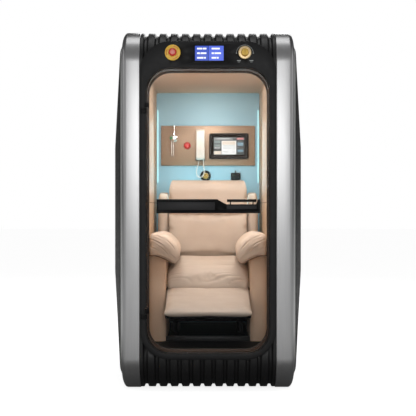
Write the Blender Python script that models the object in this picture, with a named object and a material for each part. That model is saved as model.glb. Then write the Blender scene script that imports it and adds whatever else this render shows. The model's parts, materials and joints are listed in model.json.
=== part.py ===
"""Sit-in single-person wellness cabin with a recliner, a clear door and a rear service bay.

The frame is metres with +X to the right, the doorway towards -Y and +Z up. The origin is the
centre of the underside. Pieces that move are carried by an empty that stands on their joint's
axis.
"""
import math

import bmesh
import bpy
from mathutils import Matrix, Vector

# ---------------------------------------------------------------- driving dimensions
GAP = 0.0003                  # clearance between pieces that touch
HEIGHT = 1.95
HALF_DEPTH = 0.885            # side frames, front to back
CORNER = 0.18                 # bend of the shell seen from the side
CORNER_SEGMENTS = 8

FRAME_INNER = 0.3658          # side frames, inner face
FRAME_FACE = 0.428            # where the flat front face of a side frame ends
FRAME_OUTER = 0.4683
FRAME_THICK = 0.09
BEVEL_DEPTH = 0.07            # how far back the frame's rounded outer edge reaches
BEVEL_STEPS = 4
TRIM_INSET = 0.074
TRIM_WIDTH = 0.010
TRIM_OUTER = 0.4745
COVER_INSET = 0.0843
COVER_LIP = 0.4755
COVER_SHOULDER = 0.480
COVER_PLATEAU = 0.525
COVER_WALL = 0.004
PLATEAU_HALF_DEPTH = 0.58
PLATEAU_LOW = 0.60
PLATEAU_HIGH = 1.36
PLATEAU_CORNER = 0.05

SHELL_HALF = 0.3655
SHELL_FRONT = -0.8675
SHELL_THICK = 0.021
RIB_PITCH = 0.0612
RIB_CREST = 0.035
RIB_SLOPE = 0.006
RIB_DEPTH = 0.015
RIBS_EACH_SIDE = 6
RIB_SEGMENTS = 6
ROOF_END = 1.70               # lower ends of the roof shell, front and back
BASE_FRONT_END = 0.345        # upper ends of the base shell
BASE_REAR_END = 0.25
HATCH_CLEAR = 0.0015
HATCH_HALF = RIB_PITCH * 4.5 - HATCH_CLEAR
HATCH_LOW = 0.42
HATCH_HIGH = 1.56
LATCH_PLACE = (0.2448, 1.0)        # x, z

FASCIA_FRONT = -0.880
FASCIA_THICK = 0.012
FASCIA_LOW = 0.173
FASCIA_HIGH = 1.879
FASCIA_CORNER = 0.165
OPENING_HALF = 0.3316
OPENING_LOW = 0.205
OPENING_HIGH = 1.737
OPENING_CORNER = 0.128
REVEAL_WALL = 0.008
REVEAL_BACK = -0.730
SEAM_BACK = -0.720

PANE_FRONT = -0.876
PANE_BACK = -0.864
DOOR_AXIS = (-OPENING_HALF, -0.8875)
HINGE_HEIGHTS = {"lower": 0.42, "upper": 1.52}
HINGE_HALF = 0.030            # half a hinge's height
BARREL_RADIUS = 0.0065
PIN_RADIUS = 0.0028
PIN_CLEARANCE = 0.0003
BAR_LOW = Vector((-0.2735, -0.915, 0.958))
BAR_HIGH = Vector((0.2772, PANE_FRONT - GAP, 1.033))

HEADER_Z = 1.817
ESTOP_X = -0.189
KNOB_X = 0.197
BUTTON_BORE = 0.0145
KNOB_BORE = 0.0085

CABIN_HALF = 0.354
CABIN_FRONT = -0.7195
CABIN_BACK = 0.626
FLOOR_TOP = 0.20
CEILING = 1.779
LINER_WALL = 0.0105
DECK_THICK = 0.014
CEILING_THICK = 0.010
WALL_THICK = 0.015

BOARD_FACE = 0.611
CALL_PLACE = (-0.143, 1.414)       # x, z
VALVE_CENTRE = (-0.232, 0.592, 1.465)
PORT_PLACE = (-0.017, 1.207)       # x, z
SEAT_HALF = 0.241
ARM_INNER = 0.249
ARM_OUTER = 0.350
BACKREST_HALF = 0.333
BACK_PAD_HALF = 0.251
RECLINE_AXIS = (0.330, 0.500)      # y, z
FOOTREST_AXIS = (-0.254, 0.500)    # y, z

SEAT_PROFILE = [(-0.2100, 0.426), (-0.2500, 0.497), (-0.2440, 0.520), (-0.2200, 0.560),
                (-0.1600, 0.612), (-0.0700, 0.650), (0.0400, 0.672), (0.1400, 0.680),
                (0.2100, 0.676), (0.2350, 0.655), (0.2350, 0.426)]
SHELL_PROFILE = [(0.300, 0.700), (0.3065, 0.560), (0.3065, 0.478), (0.372, 0.478), (0.392, 0.700),
                 (0.428, 1.040), (0.424, 1.082), (0.398, 1.089), (0.352, 1.080), (0.332, 1.040)]
BACK_PROFILE = [(0.2400, 0.690), (0.2955, 0.705), (0.3190, 0.945), (0.2740, 0.945), (0.2440, 0.900),
                (0.2220, 0.800), (0.2200, 0.720)]
HEAD_PROFILE = [(0.3160, 0.949), (0.3220, 1.050), (0.3370, 1.098), (0.4000, 1.104), (0.4000, 1.140),
                (0.3700, 1.163), (0.3300, 1.166), (0.2850, 1.150), (0.2600, 1.090), (0.2580, 1.000),
                (0.2760, 0.949)]

BAY_FRONT = CABIN_BACK + WALL_THICK + GAP
REAR_REACH = 0.915


# ---------------------------------------------------------------- materials
def material(name, colour, roughness, metallic=0.0, alpha=1.0, glow=None):
    """A Principled material with one colour and finish."""
    made = bpy.data.materials.new(name)
    made.use_nodes = True
    shader = made.node_tree.nodes["Principled BSDF"]
    shader.inputs["Base Color"].default_value = (*colour, 1.0)
    shader.inputs["Roughness"].default_value = roughness
    shader.inputs["Metallic"].default_value = metallic
    shader.inputs["Alpha"].default_value = alpha
    if glow:
        shader.inputs["Emission Color"].default_value = (*glow, 1.0)
        shader.inputs["Emission Strength"].default_value = 1.0
    made.diffuse_color = (*colour, alpha)
    return made


def make_materials():
    """Every finish on the cabin, by a plain name."""
    return {
        "silver": material("silver", (0.62, 0.62, 0.62), 0.35, 0.6),
        "trim": material("trim", (0.45, 0.46, 0.45), 0.4, 0.3),
        "black_shell": material("black_shell", (0.02, 0.02, 0.021), 0.5),
        "fascia": material("fascia", (0.033, 0.033, 0.034), 0.45),
        "bronze": material("bronze", (0.25, 0.14, 0.07), 0.4, 0.3),
        "rubber": material("rubber", (0.015, 0.015, 0.014), 0.8),
        "clear": material("clear", (0.9, 0.95, 0.95), 0.05, 0.0, 0.15),
        "bar": material("bar", (0.018, 0.018, 0.018), 0.4),
        "yellow": material("yellow", (0.75, 0.52, 0.08), 0.4),
        "red": material("red", (0.65, 0.04, 0.03), 0.4),
        "gold": material("gold", (0.75, 0.5, 0.12), 0.3, 0.8),
        "display": material("display", (0.1, 0.15, 0.6), 0.2, 0.0, 1.0, (0.15, 0.25, 0.9)),
        "liner": material("liner", (0.60, 0.45, 0.32), 0.6),
        "blue_wall": material("blue_wall", (0.45, 0.68, 0.74), 0.6),
        "light": material("light", (0.9, 1.0, 1.0), 0.4, 0.0, 1.0, (0.8, 1.0, 1.0)),
        "floor": material("floor", (0.012, 0.012, 0.012), 0.6),
        "board": material("board", (0.38, 0.24, 0.16), 0.45, 0.4),
        "tablet": material("tablet", (0.03, 0.02, 0.017), 0.3),
        "screen": material("screen", (0.6, 0.7, 0.72), 0.15, 0.0, 1.0, (0.6, 0.7, 0.72)),
        "white": material("white", (0.85, 0.83, 0.80), 0.35),
        "chrome": material("chrome", (0.75, 0.75, 0.75), 0.15, 1.0),
        "green": material("green", (0.03, 0.30, 0.10), 0.4),
        "leather": material("leather", (0.66, 0.44, 0.30), 0.5),
        "steel": material("steel", (0.10, 0.10, 0.10), 0.45, 0.7),
        "grey_case": material("grey_case", (0.30, 0.31, 0.32), 0.5),
    }


# ---------------------------------------------------------------- shape helpers
def remove_old_objects():
    """Clear the scene so the script gives the same model each run."""
    for old in list(bpy.data.objects):
        bpy.data.objects.remove(old, do_unlink=True)


def finish(name, mesh_data, finish_material, pivot=None):
    """Turn a bmesh in world coordinates into an object, carried by its joint's empty."""
    bmesh.ops.remove_doubles(mesh_data, verts=mesh_data.verts, dist=0.000001)
    bmesh.ops.recalc_face_normals(mesh_data, faces=mesh_data.faces)
    mesh = bpy.data.meshes.new(name)
    origin = pivot.location if pivot else Vector((0.0, 0.0, 0.0))
    bmesh.ops.translate(mesh_data, verts=mesh_data.verts, vec=-origin)
    mesh_data.to_mesh(mesh)
    mesh_data.free()
    mesh.shade_smooth()
    mesh.set_sharp_from_angle(angle=math.radians(35))
    mesh.materials.append(finish_material)
    made = bpy.data.objects.new(name, mesh)
    bpy.context.scene.collection.objects.link(made)
    made.parent = pivot
    return made


def pivot_at(name, place):
    """An empty on a joint's axis."""
    empty = bpy.data.objects.new(name, None)
    empty.location = place
    empty.empty_display_size = 0.05
    bpy.context.scene.collection.objects.link(empty)
    return empty


def skin(loops, closed):
    """Bridge a row of equally long loops. Open rows are capped at both ends."""
    made = bmesh.new()
    rows = [[made.verts.new(point) for point in loop] for loop in loops]
    count = len(loops[0])
    pairs = list(zip(rows, rows[1:]))
    if closed:
        pairs.append((rows[-1], rows[0]))
    for first, second in pairs:
        for index in range(count):
            after = (index + 1) % count
            made.faces.new((first[index], first[after], second[after], second[index]))
    if not closed:
        made.faces.new(rows[0])
        made.faces.new(rows[-1])
    return made


def rounded_outline(low_u, high_u, low_v, high_v, radius, segments=CORNER_SEGMENTS):
    """A rectangle with round corners, anticlockwise, as (u, v) pairs."""
    centres = (
        (high_u - radius, high_v - radius, 0.0),
        (low_u + radius, high_v - radius, 90.0),
        (low_u + radius, low_v + radius, 180.0),
        (high_u - radius, low_v + radius, 270.0),
    )
    outline = []
    for centre_u, centre_v, start in centres:
        for step in range(segments + 1):
            angle = math.radians(start + 90.0 * step / segments)
            outline.append((centre_u + radius * math.cos(angle),
                            centre_v + radius * math.sin(angle)))
    return outline


def box_mesh(low, high, bevel=0.0, segments=1):
    """A box between two corners, with its edges eased when a bevel is given."""
    low, high = Vector(low), Vector(high)
    made = bmesh.new()
    bmesh.ops.create_cube(made, size=1.0)
    bmesh.ops.scale(made, vec=high - low, verts=made.verts)
    bmesh.ops.translate(made, vec=(low + high) / 2, verts=made.verts)
    if bevel:
        bmesh.ops.bevel(made, geom=made.edges[:], offset=bevel, segments=segments,
                        affect="EDGES", profile=0.5)
    return made


def prism_mesh(outline, axis, low, high, bevel=0.0, segments=2):
    """Extrude an outline along X, Y or Z. Its pairs are the two other axes in order."""
    def point(pair, along):
        values = list(pair)
        values.insert("XYZ".index(axis), along)
        return Vector(values)

    made = skin([[point(pair, low) for pair in outline], [point(pair, high) for pair in outline]],
                closed=False)
    if bevel:
        ends = [edge for edge in made.edges
                if abs((edge.verts[0].co - edge.verts[1].co)["XYZ".index(axis)]) < 0.000001]
        bmesh.ops.bevel(made, geom=ends, offset=bevel, segments=segments, affect="EDGES",
                        profile=0.5, clamp_overlap=True)
    return made


def rod_mesh(start, end, radius, sides=16):
    """A round bar between two points."""
    start, end = Vector(start), Vector(end)
    made = bmesh.new()
    turn = Vector((0.0, 0.0, 1.0)).rotation_difference(end - start).to_matrix().to_4x4()
    bmesh.ops.create_cone(made, cap_ends=True, segments=sides, radius1=radius, radius2=radius,
                          depth=(end - start).length,
                          matrix=Matrix.Translation((start + end) / 2) @ turn)
    return made


def cross_rod(place, low, high, radius, sides=16):
    """A round bar along X at a (y, z) place."""
    return rod_mesh((low, *place), (high, *place), radius, sides)


def depth_rod(place, near, far, radius, sides=16):
    """A round bar along Y at an (x, z) place."""
    return rod_mesh((place[0], near, place[1]), (place[0], far, place[1]), radius, sides)


def upright_rod(place, low, high, radius, sides=16):
    """A round bar along Z at an (x, y) place."""
    return rod_mesh((*place, low), (*place, high), radius, sides)


def turned_mesh(profile, centre, closed=False, sides=24):
    """Turn (radius, y) pairs about a line along Y through an (x, z) centre."""
    loops = []
    for radius, depth in profile:
        loops.append([
            Vector((centre[0] + radius * math.cos(2 * math.pi * side / sides), depth,
                    centre[1] + radius * math.sin(2 * math.pi * side / sides)))
            for side in range(sides)
        ])
    return skin(loops, closed)


def helper(name, mesh_data):
    """A body used only to cut or join another one."""
    made = finish(name, mesh_data, bpy.data.materials["steel"])
    made.hide_render = True
    made.display_type = "WIRE"
    return made


def combine(target, name, mesh_data, operation):
    """Cut a shape out of a piece, or join it on."""
    tool = helper(name, mesh_data)
    step = target.modifiers.new(name, "BOOLEAN")
    step.operation = operation
    step.solver = "EXACT"
    step.object = tool


# ---------------------------------------------------------------- outer shell
def side_loop(x, inset):
    """The cabin's side outline at one x, drawn in by an inset."""
    outline = rounded_outline(-HALF_DEPTH + inset, HALF_DEPTH - inset, inset, HEIGHT - inset,
                              CORNER - inset)
    return [Vector((x, y, z)) for y, z in outline]


def make_side_frame(name, side, finishes):
    """Closed silver band that wraps front, top, back and underside."""
    section = [(FRAME_INNER, 0.0)]
    for step in range(BEVEL_STEPS + 1):
        angle = math.radians(90.0 * step / BEVEL_STEPS)
        section.append((FRAME_FACE + (FRAME_OUTER - FRAME_FACE) * math.sin(angle),
                        BEVEL_DEPTH * (1.0 - math.cos(angle))))
    section += [(FRAME_OUTER, FRAME_THICK), (FRAME_INNER, FRAME_THICK)]
    finish(name, skin([side_loop(side * x, inset) for x, inset in section], closed=True),
           finishes["silver"])


def make_side_trim(name, side, finishes):
    """Light bead between a side frame and its cover."""
    inner = FRAME_OUTER + GAP
    section = [(inner, TRIM_INSET), (TRIM_OUTER, TRIM_INSET),
               (TRIM_OUTER, TRIM_INSET + TRIM_WIDTH), (inner, TRIM_INSET + TRIM_WIDTH)]
    finish(name, skin([side_loop(side * x, inset) for x, inset in section], closed=True),
           finishes["trim"])


def plateau_loop(x):
    """The raised flat middle of a side cover."""
    outline = rounded_outline(-PLATEAU_HALF_DEPTH, PLATEAU_HALF_DEPTH, PLATEAU_LOW, PLATEAU_HIGH,
                              PLATEAU_CORNER)
    return [Vector((x, y, z)) for y, z in outline]


def make_side_cover(name, side, finishes):
    """Thin dished cover whose middle stands proud of the side frame."""
    base = FRAME_OUTER + GAP
    loops = [
        plateau_loop(side * (COVER_PLATEAU - COVER_WALL)),
        side_loop(side * (COVER_SHOULDER - COVER_WALL), COVER_INSET + 0.011),
        side_loop(side * base, COVER_INSET + COVER_WALL),
        side_loop(side * base, COVER_INSET),
        side_loop(side * COVER_LIP, COVER_INSET),
        side_loop(side * COVER_SHOULDER, COVER_INSET + 0.010),
        plateau_loop(side * COVER_PLATEAU),
    ]
    finish(name, skin(loops, closed=False), finishes["black_shell"])


def rib_section(half, reach):
    """Closed section across the ribs, as (x, inset) pairs; reach is the outermost rib."""
    section = []
    for rib in range(-reach, reach + 1):
        centre = rib * RIB_PITCH
        for offset, inset in ((-RIB_CREST / 2 - RIB_SLOPE, RIB_DEPTH), (-RIB_CREST / 2, 0.0),
                              (RIB_CREST / 2, 0.0), (RIB_CREST / 2 + RIB_SLOPE, RIB_DEPTH)):
            if abs(centre + offset) < half:
                section.append((centre + offset, inset))
    section.insert(0, (-half, section[0][1]))
    section.append((half, section[-1][1]))
    return section + [(half, SHELL_THICK), (-half, SHELL_THICK)]


def shell_path(inset, front_end, rear_end):
    """Front, top and back of the ribbed skin at one inset, as (y, z) pairs."""
    path = [(SHELL_FRONT + inset, front_end)]
    for centre_y, start in ((SHELL_FRONT + CORNER, 180.0), (HALF_DEPTH - CORNER, 90.0)):
        for step in range(RIB_SEGMENTS + 1):
            angle = math.radians(start - 90.0 * step / RIB_SEGMENTS)
            path.append((centre_y + (CORNER - inset) * math.cos(angle),
                         HEIGHT - CORNER + (CORNER - inset) * math.sin(angle)))
    path.append((HALF_DEPTH - inset, rear_end))
    return path


def opening_outline(grow):
    """The doorway's outline, grown or drawn in evenly, as (x, z) pairs."""
    return rounded_outline(-OPENING_HALF - grow, OPENING_HALF + grow, OPENING_LOW - grow,
                           OPENING_HIGH + grow, OPENING_CORNER + grow)


def ring_mesh(outer, inner, front, back):
    """A flat ring in the XZ plane between two y values."""
    return skin([[Vector((x, y, z)) for x, z in outline]
                 for outline, y in ((outer, front), (outer, back), (inner, back), (inner, front))],
                closed=True)


def make_ribbed_shell(name, front_end, rear_end, flip, finishes):
    """Ribbed skin over the top, or turned over for the underside, open for the doorway."""
    section = rib_section(SHELL_HALF, RIBS_EACH_SIDE)
    paths = [(x, shell_path(inset, front_end, rear_end)) for x, inset in section]
    stations = []
    for index in range(len(paths[0][1])):
        station = [(x, *path[index]) for x, path in paths]
        stations.append([Vector((x, y, HEIGHT - z if flip else z)) for x, y, z in station])
    shell = finish(name, skin(stations, closed=False), finishes["black_shell"])
    doorway = prism_mesh(opening_outline(REVEAL_WALL + GAP), "Y", -1.0, -0.6)
    combine(shell, name + "_doorway", doorway, "DIFFERENCE")
    return shell


def make_roof(finishes):
    """Ribbed roof with room behind the header for its controls."""
    roof = make_ribbed_shell("roof_shell", ROOF_END, ROOF_END, False, finishes)
    combine(roof, "roof_shell_header", box_mesh((-0.245, -1.0, 1.762), (0.245, -0.80, 1.862)),
            "DIFFERENCE")


def ribbed_slab(half, reach, low, high):
    """A flat ribbed wall at the back."""
    section = rib_section(half, reach)
    return skin([[Vector((x, HALF_DEPTH - inset, z)) for x, inset in section] for z in (low, high)],
                closed=False)


def make_rear(finishes):
    """Rear wall, open for the service hatch and the power inlet."""
    wall = finish("rear_shell", ribbed_slab(SHELL_HALF, RIBS_EACH_SIDE, BASE_REAR_END + GAP,
                                            ROOF_END - GAP), finishes["black_shell"])
    hole = box_mesh((-HATCH_HALF - HATCH_CLEAR, 0.8, HATCH_LOW - HATCH_CLEAR),
                    (HATCH_HALF + HATCH_CLEAR, 0.95, HATCH_HIGH + HATCH_CLEAR))
    combine(wall, "rear_shell_door_hole", hole, "DIFFERENCE")
    combine(wall, "rear_shell_inlet_hole", box_mesh((0.06, 0.80, 0.315), (0.14, 0.95, 0.375)),
            "DIFFERENCE")
    make_hatch(finishes)


def make_hatch(finishes):
    """Service hatch on its left-hand hinge line, with a turn latch on the right."""
    axis = pivot_at("hatch_axis", (-HATCH_HALF - HATCH_CLEAR / 2, HALF_DEPTH + 0.006, 1.0))
    hatch = finish("rear_hatch", ribbed_slab(HATCH_HALF, 4, HATCH_LOW, HATCH_HIGH),
                   finishes["black_shell"], axis)
    x, z = LATCH_PLACE
    combine(hatch, "rear_hatch_spindle_hole", depth_rod(LATCH_PLACE, 0.80, 0.95, 0.0085),
            "DIFFERENCE")
    latch = finish("hatch_latch", depth_rod(LATCH_PLACE, HALF_DEPTH + GAP, 0.895, 0.016),
                   finishes["bar"], pivot_at("hatch_latch_axis", (x, HALF_DEPTH, z)))
    grip = box_mesh((x - 0.006, 0.893, z - 0.035), (x + 0.006, REAR_REACH, z + 0.035), 0.002)
    combine(latch, "hatch_latch_grip", grip, "UNION")
    combine(latch, "hatch_latch_spindle", depth_rod(LATCH_PLACE, 0.845, 0.890, 0.008), "UNION")
    tongue = box_mesh((x - 0.008, 0.846, z - 0.060), (x + 0.008, 0.852, z + 0.009))
    combine(latch, "hatch_latch_tongue", tongue, "UNION")


# ---------------------------------------------------------------- front and door
def make_fascia(finishes):
    """Black face plate around the doorway, with its header panel of controls."""
    outer = rounded_outline(-SHELL_HALF, SHELL_HALF, FASCIA_LOW, FASCIA_HIGH, FASCIA_CORNER)
    plate = finish("front_fascia", ring_mesh(outer, opening_outline(0.0), FASCIA_FRONT,
                                             FASCIA_FRONT + FASCIA_THICK), finishes["fascia"])
    combine(plate, "fascia_stop_hole", depth_rod((ESTOP_X, HEADER_Z), -0.9, -0.85, BUTTON_BORE),
            "DIFFERENCE")
    combine(plate, "fascia_knob_hole", depth_rod((KNOB_X, HEADER_Z), -0.9, -0.85, KNOB_BORE),
            "DIFFERENCE")
    combine(plate, "fascia_display_hole", box_mesh((-0.0713, -0.9, 1.7727), (0.0853, -0.85, 1.8553)),
            "DIFFERENCE")
    finish("display_panel", box_mesh((-0.071, -0.8792, 1.773), (0.085, -0.862, 1.855), 0.001),
           finishes["display"])


def make_doorway(finishes):
    """Bronze reveal, its rear seam and the seal that the door closes on."""
    front = FASCIA_FRONT + FASCIA_THICK + GAP
    finish("door_reveal", ring_mesh(opening_outline(REVEAL_WALL), opening_outline(0.0), front,
                                    REVEAL_BACK - GAP), finishes["bronze"])
    finish("reveal_seam", ring_mesh(opening_outline(0.012), opening_outline(-0.0054), REVEAL_BACK,
                                    SEAM_BACK), finishes["rubber"])
    finish("door_gasket", ring_mesh(opening_outline(-0.0006), opening_outline(-0.006),
                                    PANE_BACK + GAP, PANE_BACK + 0.006), finishes["rubber"])


def make_hinge(level, height, door_axis, finishes):
    """Lift-off hinge: a pin on the fascia's leaf stands in the door leaf's barrel."""
    x, y = DOOR_AXIS
    low, split, high = height - HINGE_HALF, height - 0.001, height + HINGE_HALF
    block = finish("hinge_block_" + level,
                   box_mesh((x - 0.029, y + 0.0035, low), (x - 0.004, FASCIA_FRONT - GAP, split)),
                   finishes["bar"])
    combine(block, "hinge_block_web_" + level,
            box_mesh((x - 0.010, y + 0.001, low), (x, FASCIA_FRONT - 0.0015, split)), "UNION")
    combine(block, "hinge_block_barrel_" + level,
            upright_rod(DOOR_AXIS, low, split, BARREL_RADIUS), "UNION")
    combine(block, "hinge_block_pin_" + level,
            upright_rod(DOOR_AXIS, height - 0.010, height + 0.021, PIN_RADIUS), "UNION")
    start = height + 0.001
    leaf = finish("hinge_leaf_" + level,
                  box_mesh((x + 0.006, y + 0.0035, start), (x + 0.018, PANE_FRONT - GAP, high)),
                  finishes["bar"], door_axis)
    combine(leaf, "hinge_leaf_web_" + level,
            box_mesh((x, y + 0.001, start), (x + 0.010, y + 0.006, high)), "UNION")
    combine(leaf, "hinge_leaf_barrel_" + level,
            upright_rod(DOOR_AXIS, start, high, BARREL_RADIUS), "UNION")
    bore = upright_rod(DOOR_AXIS, height - 0.010, height + 0.025, PIN_RADIUS + PIN_CLEARANCE)
    combine(leaf, "hinge_leaf_bore_" + level, bore, "DIFFERENCE")


def make_crossbar(door_axis, finishes):
    """Black push bar across the pane, notched at its free end for the fingers."""
    bar = finish("crossbar", box_mesh(BAR_LOW, BAR_HIGH, 0.0015), finishes["bar"], door_axis)
    notch = [(0.098, 1.0045), (0.2575, 1.0045), (0.2690, 1.040), (0.0415, 1.040)]
    combine(bar, "crossbar_notch", prism_mesh(notch, "Y", -0.93, -0.86), "DIFFERENCE")
    combine(bar, "crossbar_panel", box_mesh((-0.2655, -0.93, 0.975), (0.037, -0.9135, 1.018)),
            "DIFFERENCE")
    paddle_y = (BAR_LOW.y + BAR_HIGH.y) / 2
    slab = box_mesh((0.101, BAR_LOW.y + 0.001, 1.018), (0.2565, BAR_HIGH.y - 0.002, 1.0325), 0.0015)
    paddle = finish("latch_paddle", slab, finishes["bar"],
                    pivot_at("paddle_axis", (0.17, paddle_y, 1.018)))
    for index, x in enumerate((0.120, 0.240)):
        combine(bar, "crossbar_post_%d" % index, upright_rod((x, paddle_y), 1.000, 1.026, 0.003),
                "UNION")
        combine(paddle, "paddle_bore_%d" % index,
                upright_rod((x, paddle_y), 1.010, 1.040, 0.0034), "DIFFERENCE")


def make_door(finishes):
    """Clear door on its left-hand hinges, with a bar outside and a grip inside."""
    axis = pivot_at("door_axis", (*DOOR_AXIS, 1.0))
    finish("door_pane", prism_mesh(opening_outline(-0.003), "Y", PANE_FRONT, PANE_BACK),
           finishes["clear"], axis)
    make_crossbar(axis, finishes)
    grip = finish("inside_grip", box_mesh((-0.24, -0.840, 0.985), (0.24, -0.826, 1.006), 0.003),
                  finishes["bar"], axis)
    for index, x in enumerate((-0.20, 0.20)):
        combine(grip, "inside_grip_stand_%d" % index,
                depth_rod((x, 0.9955), PANE_BACK + GAP, -0.835, 0.007), "UNION")
    for level, height in HINGE_HEIGHTS.items():
        make_hinge(level, height, axis, finishes)


def make_header_controls(finishes):
    """Emergency stop in its yellow collar, and the pressure knob."""
    face = FASCIA_FRONT - GAP
    stop = (ESTOP_X, HEADER_Z)
    collar = [(0.042, face), (0.042, -0.885), (0.038, -0.888), (BUTTON_BORE, -0.888),
              (BUTTON_BORE, face)]
    finish("stop_collar", turned_mesh(collar, stop, closed=True), finishes["yellow"])
    button = [(0.013, -0.858), (0.013, -0.893), (0.0195, -0.8935), (0.0205, -0.903),
              (0.017, -0.909), (0.009, -0.911)]
    finish("stop_button", turned_mesh(button, stop), finishes["red"],
           pivot_at("stop_axis", (ESTOP_X, -0.888, HEADER_Z)))
    profile = [(0.008, -0.860), (0.008, FASCIA_FRONT - 0.0005), (0.035, -0.8808), (0.035, -0.886),
               (0.031, -0.890), (0.022, -0.891), (0.019, -0.903), (0.016, -0.905)]
    knob = finish("control_knob", turned_mesh(profile, (KNOB_X, HEADER_Z)), finishes["gold"],
                  pivot_at("knob_axis", (KNOB_X, FASCIA_FRONT, HEADER_Z)))
    grip = box_mesh((KNOB_X - 0.005, -0.911, HEADER_Z - 0.018),
                    (KNOB_X + 0.005, -0.888, HEADER_Z + 0.018), 0.002)
    combine(knob, "control_knob_grip", grip, "UNION")


# ---------------------------------------------------------------- cabin lining
def make_lining(finishes):
    """Floor, side walls, ceiling, rear wall and the light strips in its corners."""
    inner = CABIN_HALF - GAP
    back = CABIN_BACK - GAP
    wall_back = CABIN_BACK + WALL_THICK
    low, high = FLOOR_TOP - DECK_THICK, CEILING + CEILING_THICK
    finish("floor_deck", box_mesh((-inner, CABIN_FRONT, low), (inner, back, FLOOR_TOP)),
           finishes["floor"])
    for name, side in (("left", -1), ("right", 1)):
        edges = sorted((side * CABIN_HALF, side * (CABIN_HALF + LINER_WALL)))
        finish("wall_liner_" + name,
               box_mesh((edges[0], CABIN_FRONT, low), (edges[1], wall_back, high)),
               finishes["liner"])
        strip = sorted((side * 0.3495, side * 0.3415))
        finish("light_strip_" + name,
               box_mesh((strip[0], 0.618, 1.16), (strip[1], back, 1.66), 0.0015),
               finishes["light"])
    finish("ceiling_liner", box_mesh((-inner, CABIN_FRONT, CEILING), (inner, back, high)),
           finishes["liner"])
    wall = finish("back_wall", box_mesh((-inner, CABIN_BACK, low), (inner, wall_back, high)),
                  finishes["blue_wall"])
    combine(wall, "back_wall_port_hole", depth_rod(PORT_PLACE, 0.6, 0.7, 0.0205), "DIFFERENCE")


def make_instruments(finishes):
    """Instrument board on the rear wall with its screen and call button."""
    rear = BOARD_FACE - GAP
    finish("instrument_board",
           box_mesh((-0.324, BOARD_FACE, 1.277), (0.324, CABIN_BACK - GAP, 1.552), 0.0015),
           finishes["board"])
    tablet_outline = rounded_outline(0.008, 0.279, 1.322, 1.500, 0.012, 3)
    tablet = finish("tablet_housing", prism_mesh(tablet_outline, "Y", 0.593, rear),
                    finishes["tablet"])
    combine(tablet, "tablet_pocket", box_mesh((0.0387, 0.58, 1.3497), (0.2483, 0.5953, 1.4718)),
            "DIFFERENCE")
    finish("tablet_screen", box_mesh((0.039, 0.5932, 1.350), (0.248, 0.595, 1.4715)),
           finishes["screen"])
    ring = [(0.024, rear), (0.024, 0.601), (0.022, 0.599), (0.0192, 0.599), (0.0192, rear)]
    finish("call_button_ring", turned_mesh(ring, CALL_PLACE, closed=True), finishes["red"])
    button = [(0.0186, 0.604), (0.0186, 0.594), (0.015, 0.590)]
    finish("call_button", turned_mesh(button, CALL_PLACE), finishes["red"],
           pivot_at("call_axis", (CALL_PLACE[0], 0.599, CALL_PLACE[1])))


def make_valve(finishes):
    """Breathing-gas valve with its supply pipe above and two outlets below."""
    rear = BOARD_FACE - GAP
    x, y, z = VALVE_CENTRE
    body = finish("valve_body", depth_rod((x, z), rear, 0.580, 0.026, 20), finishes["chrome"])
    combine(body, "valve_supply", upright_rod((x, y), z + 0.012, z + 0.085, 0.0045, 10), "UNION")
    for index, outlet_x in enumerate((-0.2495, -0.2375)):
        combine(body, "valve_outlet_%d" % index,
                upright_rod((outlet_x, y), z - 0.010, 1.338, 0.004, 10), "UNION")
    spindle = (x - 0.020, z)
    combine(body, "valve_neck", depth_rod(spindle, 0.592, 0.574, 0.007, 12), "UNION")
    combine(body, "valve_bore", depth_rod(spindle, 0.5845, 0.56, 0.0042, 12), "DIFFERENCE")
    knob = finish("valve_knob", depth_rod(spindle, 0.5735, 0.560, 0.0105, 16), finishes["green"],
                  pivot_at("valve_axis", (spindle[0], 0.574, spindle[1])))
    combine(knob, "valve_knob_stem", depth_rod(spindle, 0.5840, 0.570, 0.0037, 12), "UNION")


HANDSET_OUTLINE = [(0.587, 1.5200), (0.587, 1.4720), (0.578, 1.4580), (0.578, 1.3790), (0.587, 1.3650),
                   (0.587, 1.3170), (0.582, 1.3150), (0.560, 1.3150), (0.549, 1.3250), (0.545, 1.3600),
                   (0.545, 1.4770), (0.549, 1.5120), (0.560, 1.5220), (0.582, 1.5220)]


def make_telephone(finishes):
    """Intercom handset on its hook plate, and the short cord that hangs in a loop below it."""
    rear = BOARD_FACE - GAP
    cradle = finish("handset_cradle", box_mesh((-0.077, 0.5875, 1.330), (-0.027, rear, 1.507), 0.002),
                    finishes["white"])
    combine(cradle, "handset_cradle_gland", upright_rod((-0.062, 0.600), 1.3155, 1.335, 0.0045, 10),
            "UNION")
    finish("handset", prism_mesh(HANDSET_OUTLINE, "X", -0.085, -0.019, 0.004, 1), finishes["white"],
           pivot_at("handset_axis", (-0.052, 0.587, 1.42)))
    make_handset_cord(finishes)


CORD_RADIUS = 0.0025
CORD_ROUTE = [(-0.0620, 0.6000, 1.3152), (-0.0630, 0.5995, 1.3020), (-0.0680, 0.5975, 1.2800),
              (-0.0755, 0.5945, 1.2570), (-0.0790, 0.5915, 1.2360), (-0.0765, 0.5885, 1.2160),
              (-0.0680, 0.5860, 1.2020), (-0.0540, 0.5840, 1.1965), (-0.0400, 0.5820, 1.2010),
              (-0.0300, 0.5800, 1.2150), (-0.0262, 0.5775, 1.2360), (-0.0275, 0.5750, 1.2580),
              (-0.0300, 0.5725, 1.2800), (-0.0310, 0.5705, 1.3010), (-0.0310, 0.5700, 1.3147)]
CORD_STEPS = 3


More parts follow.
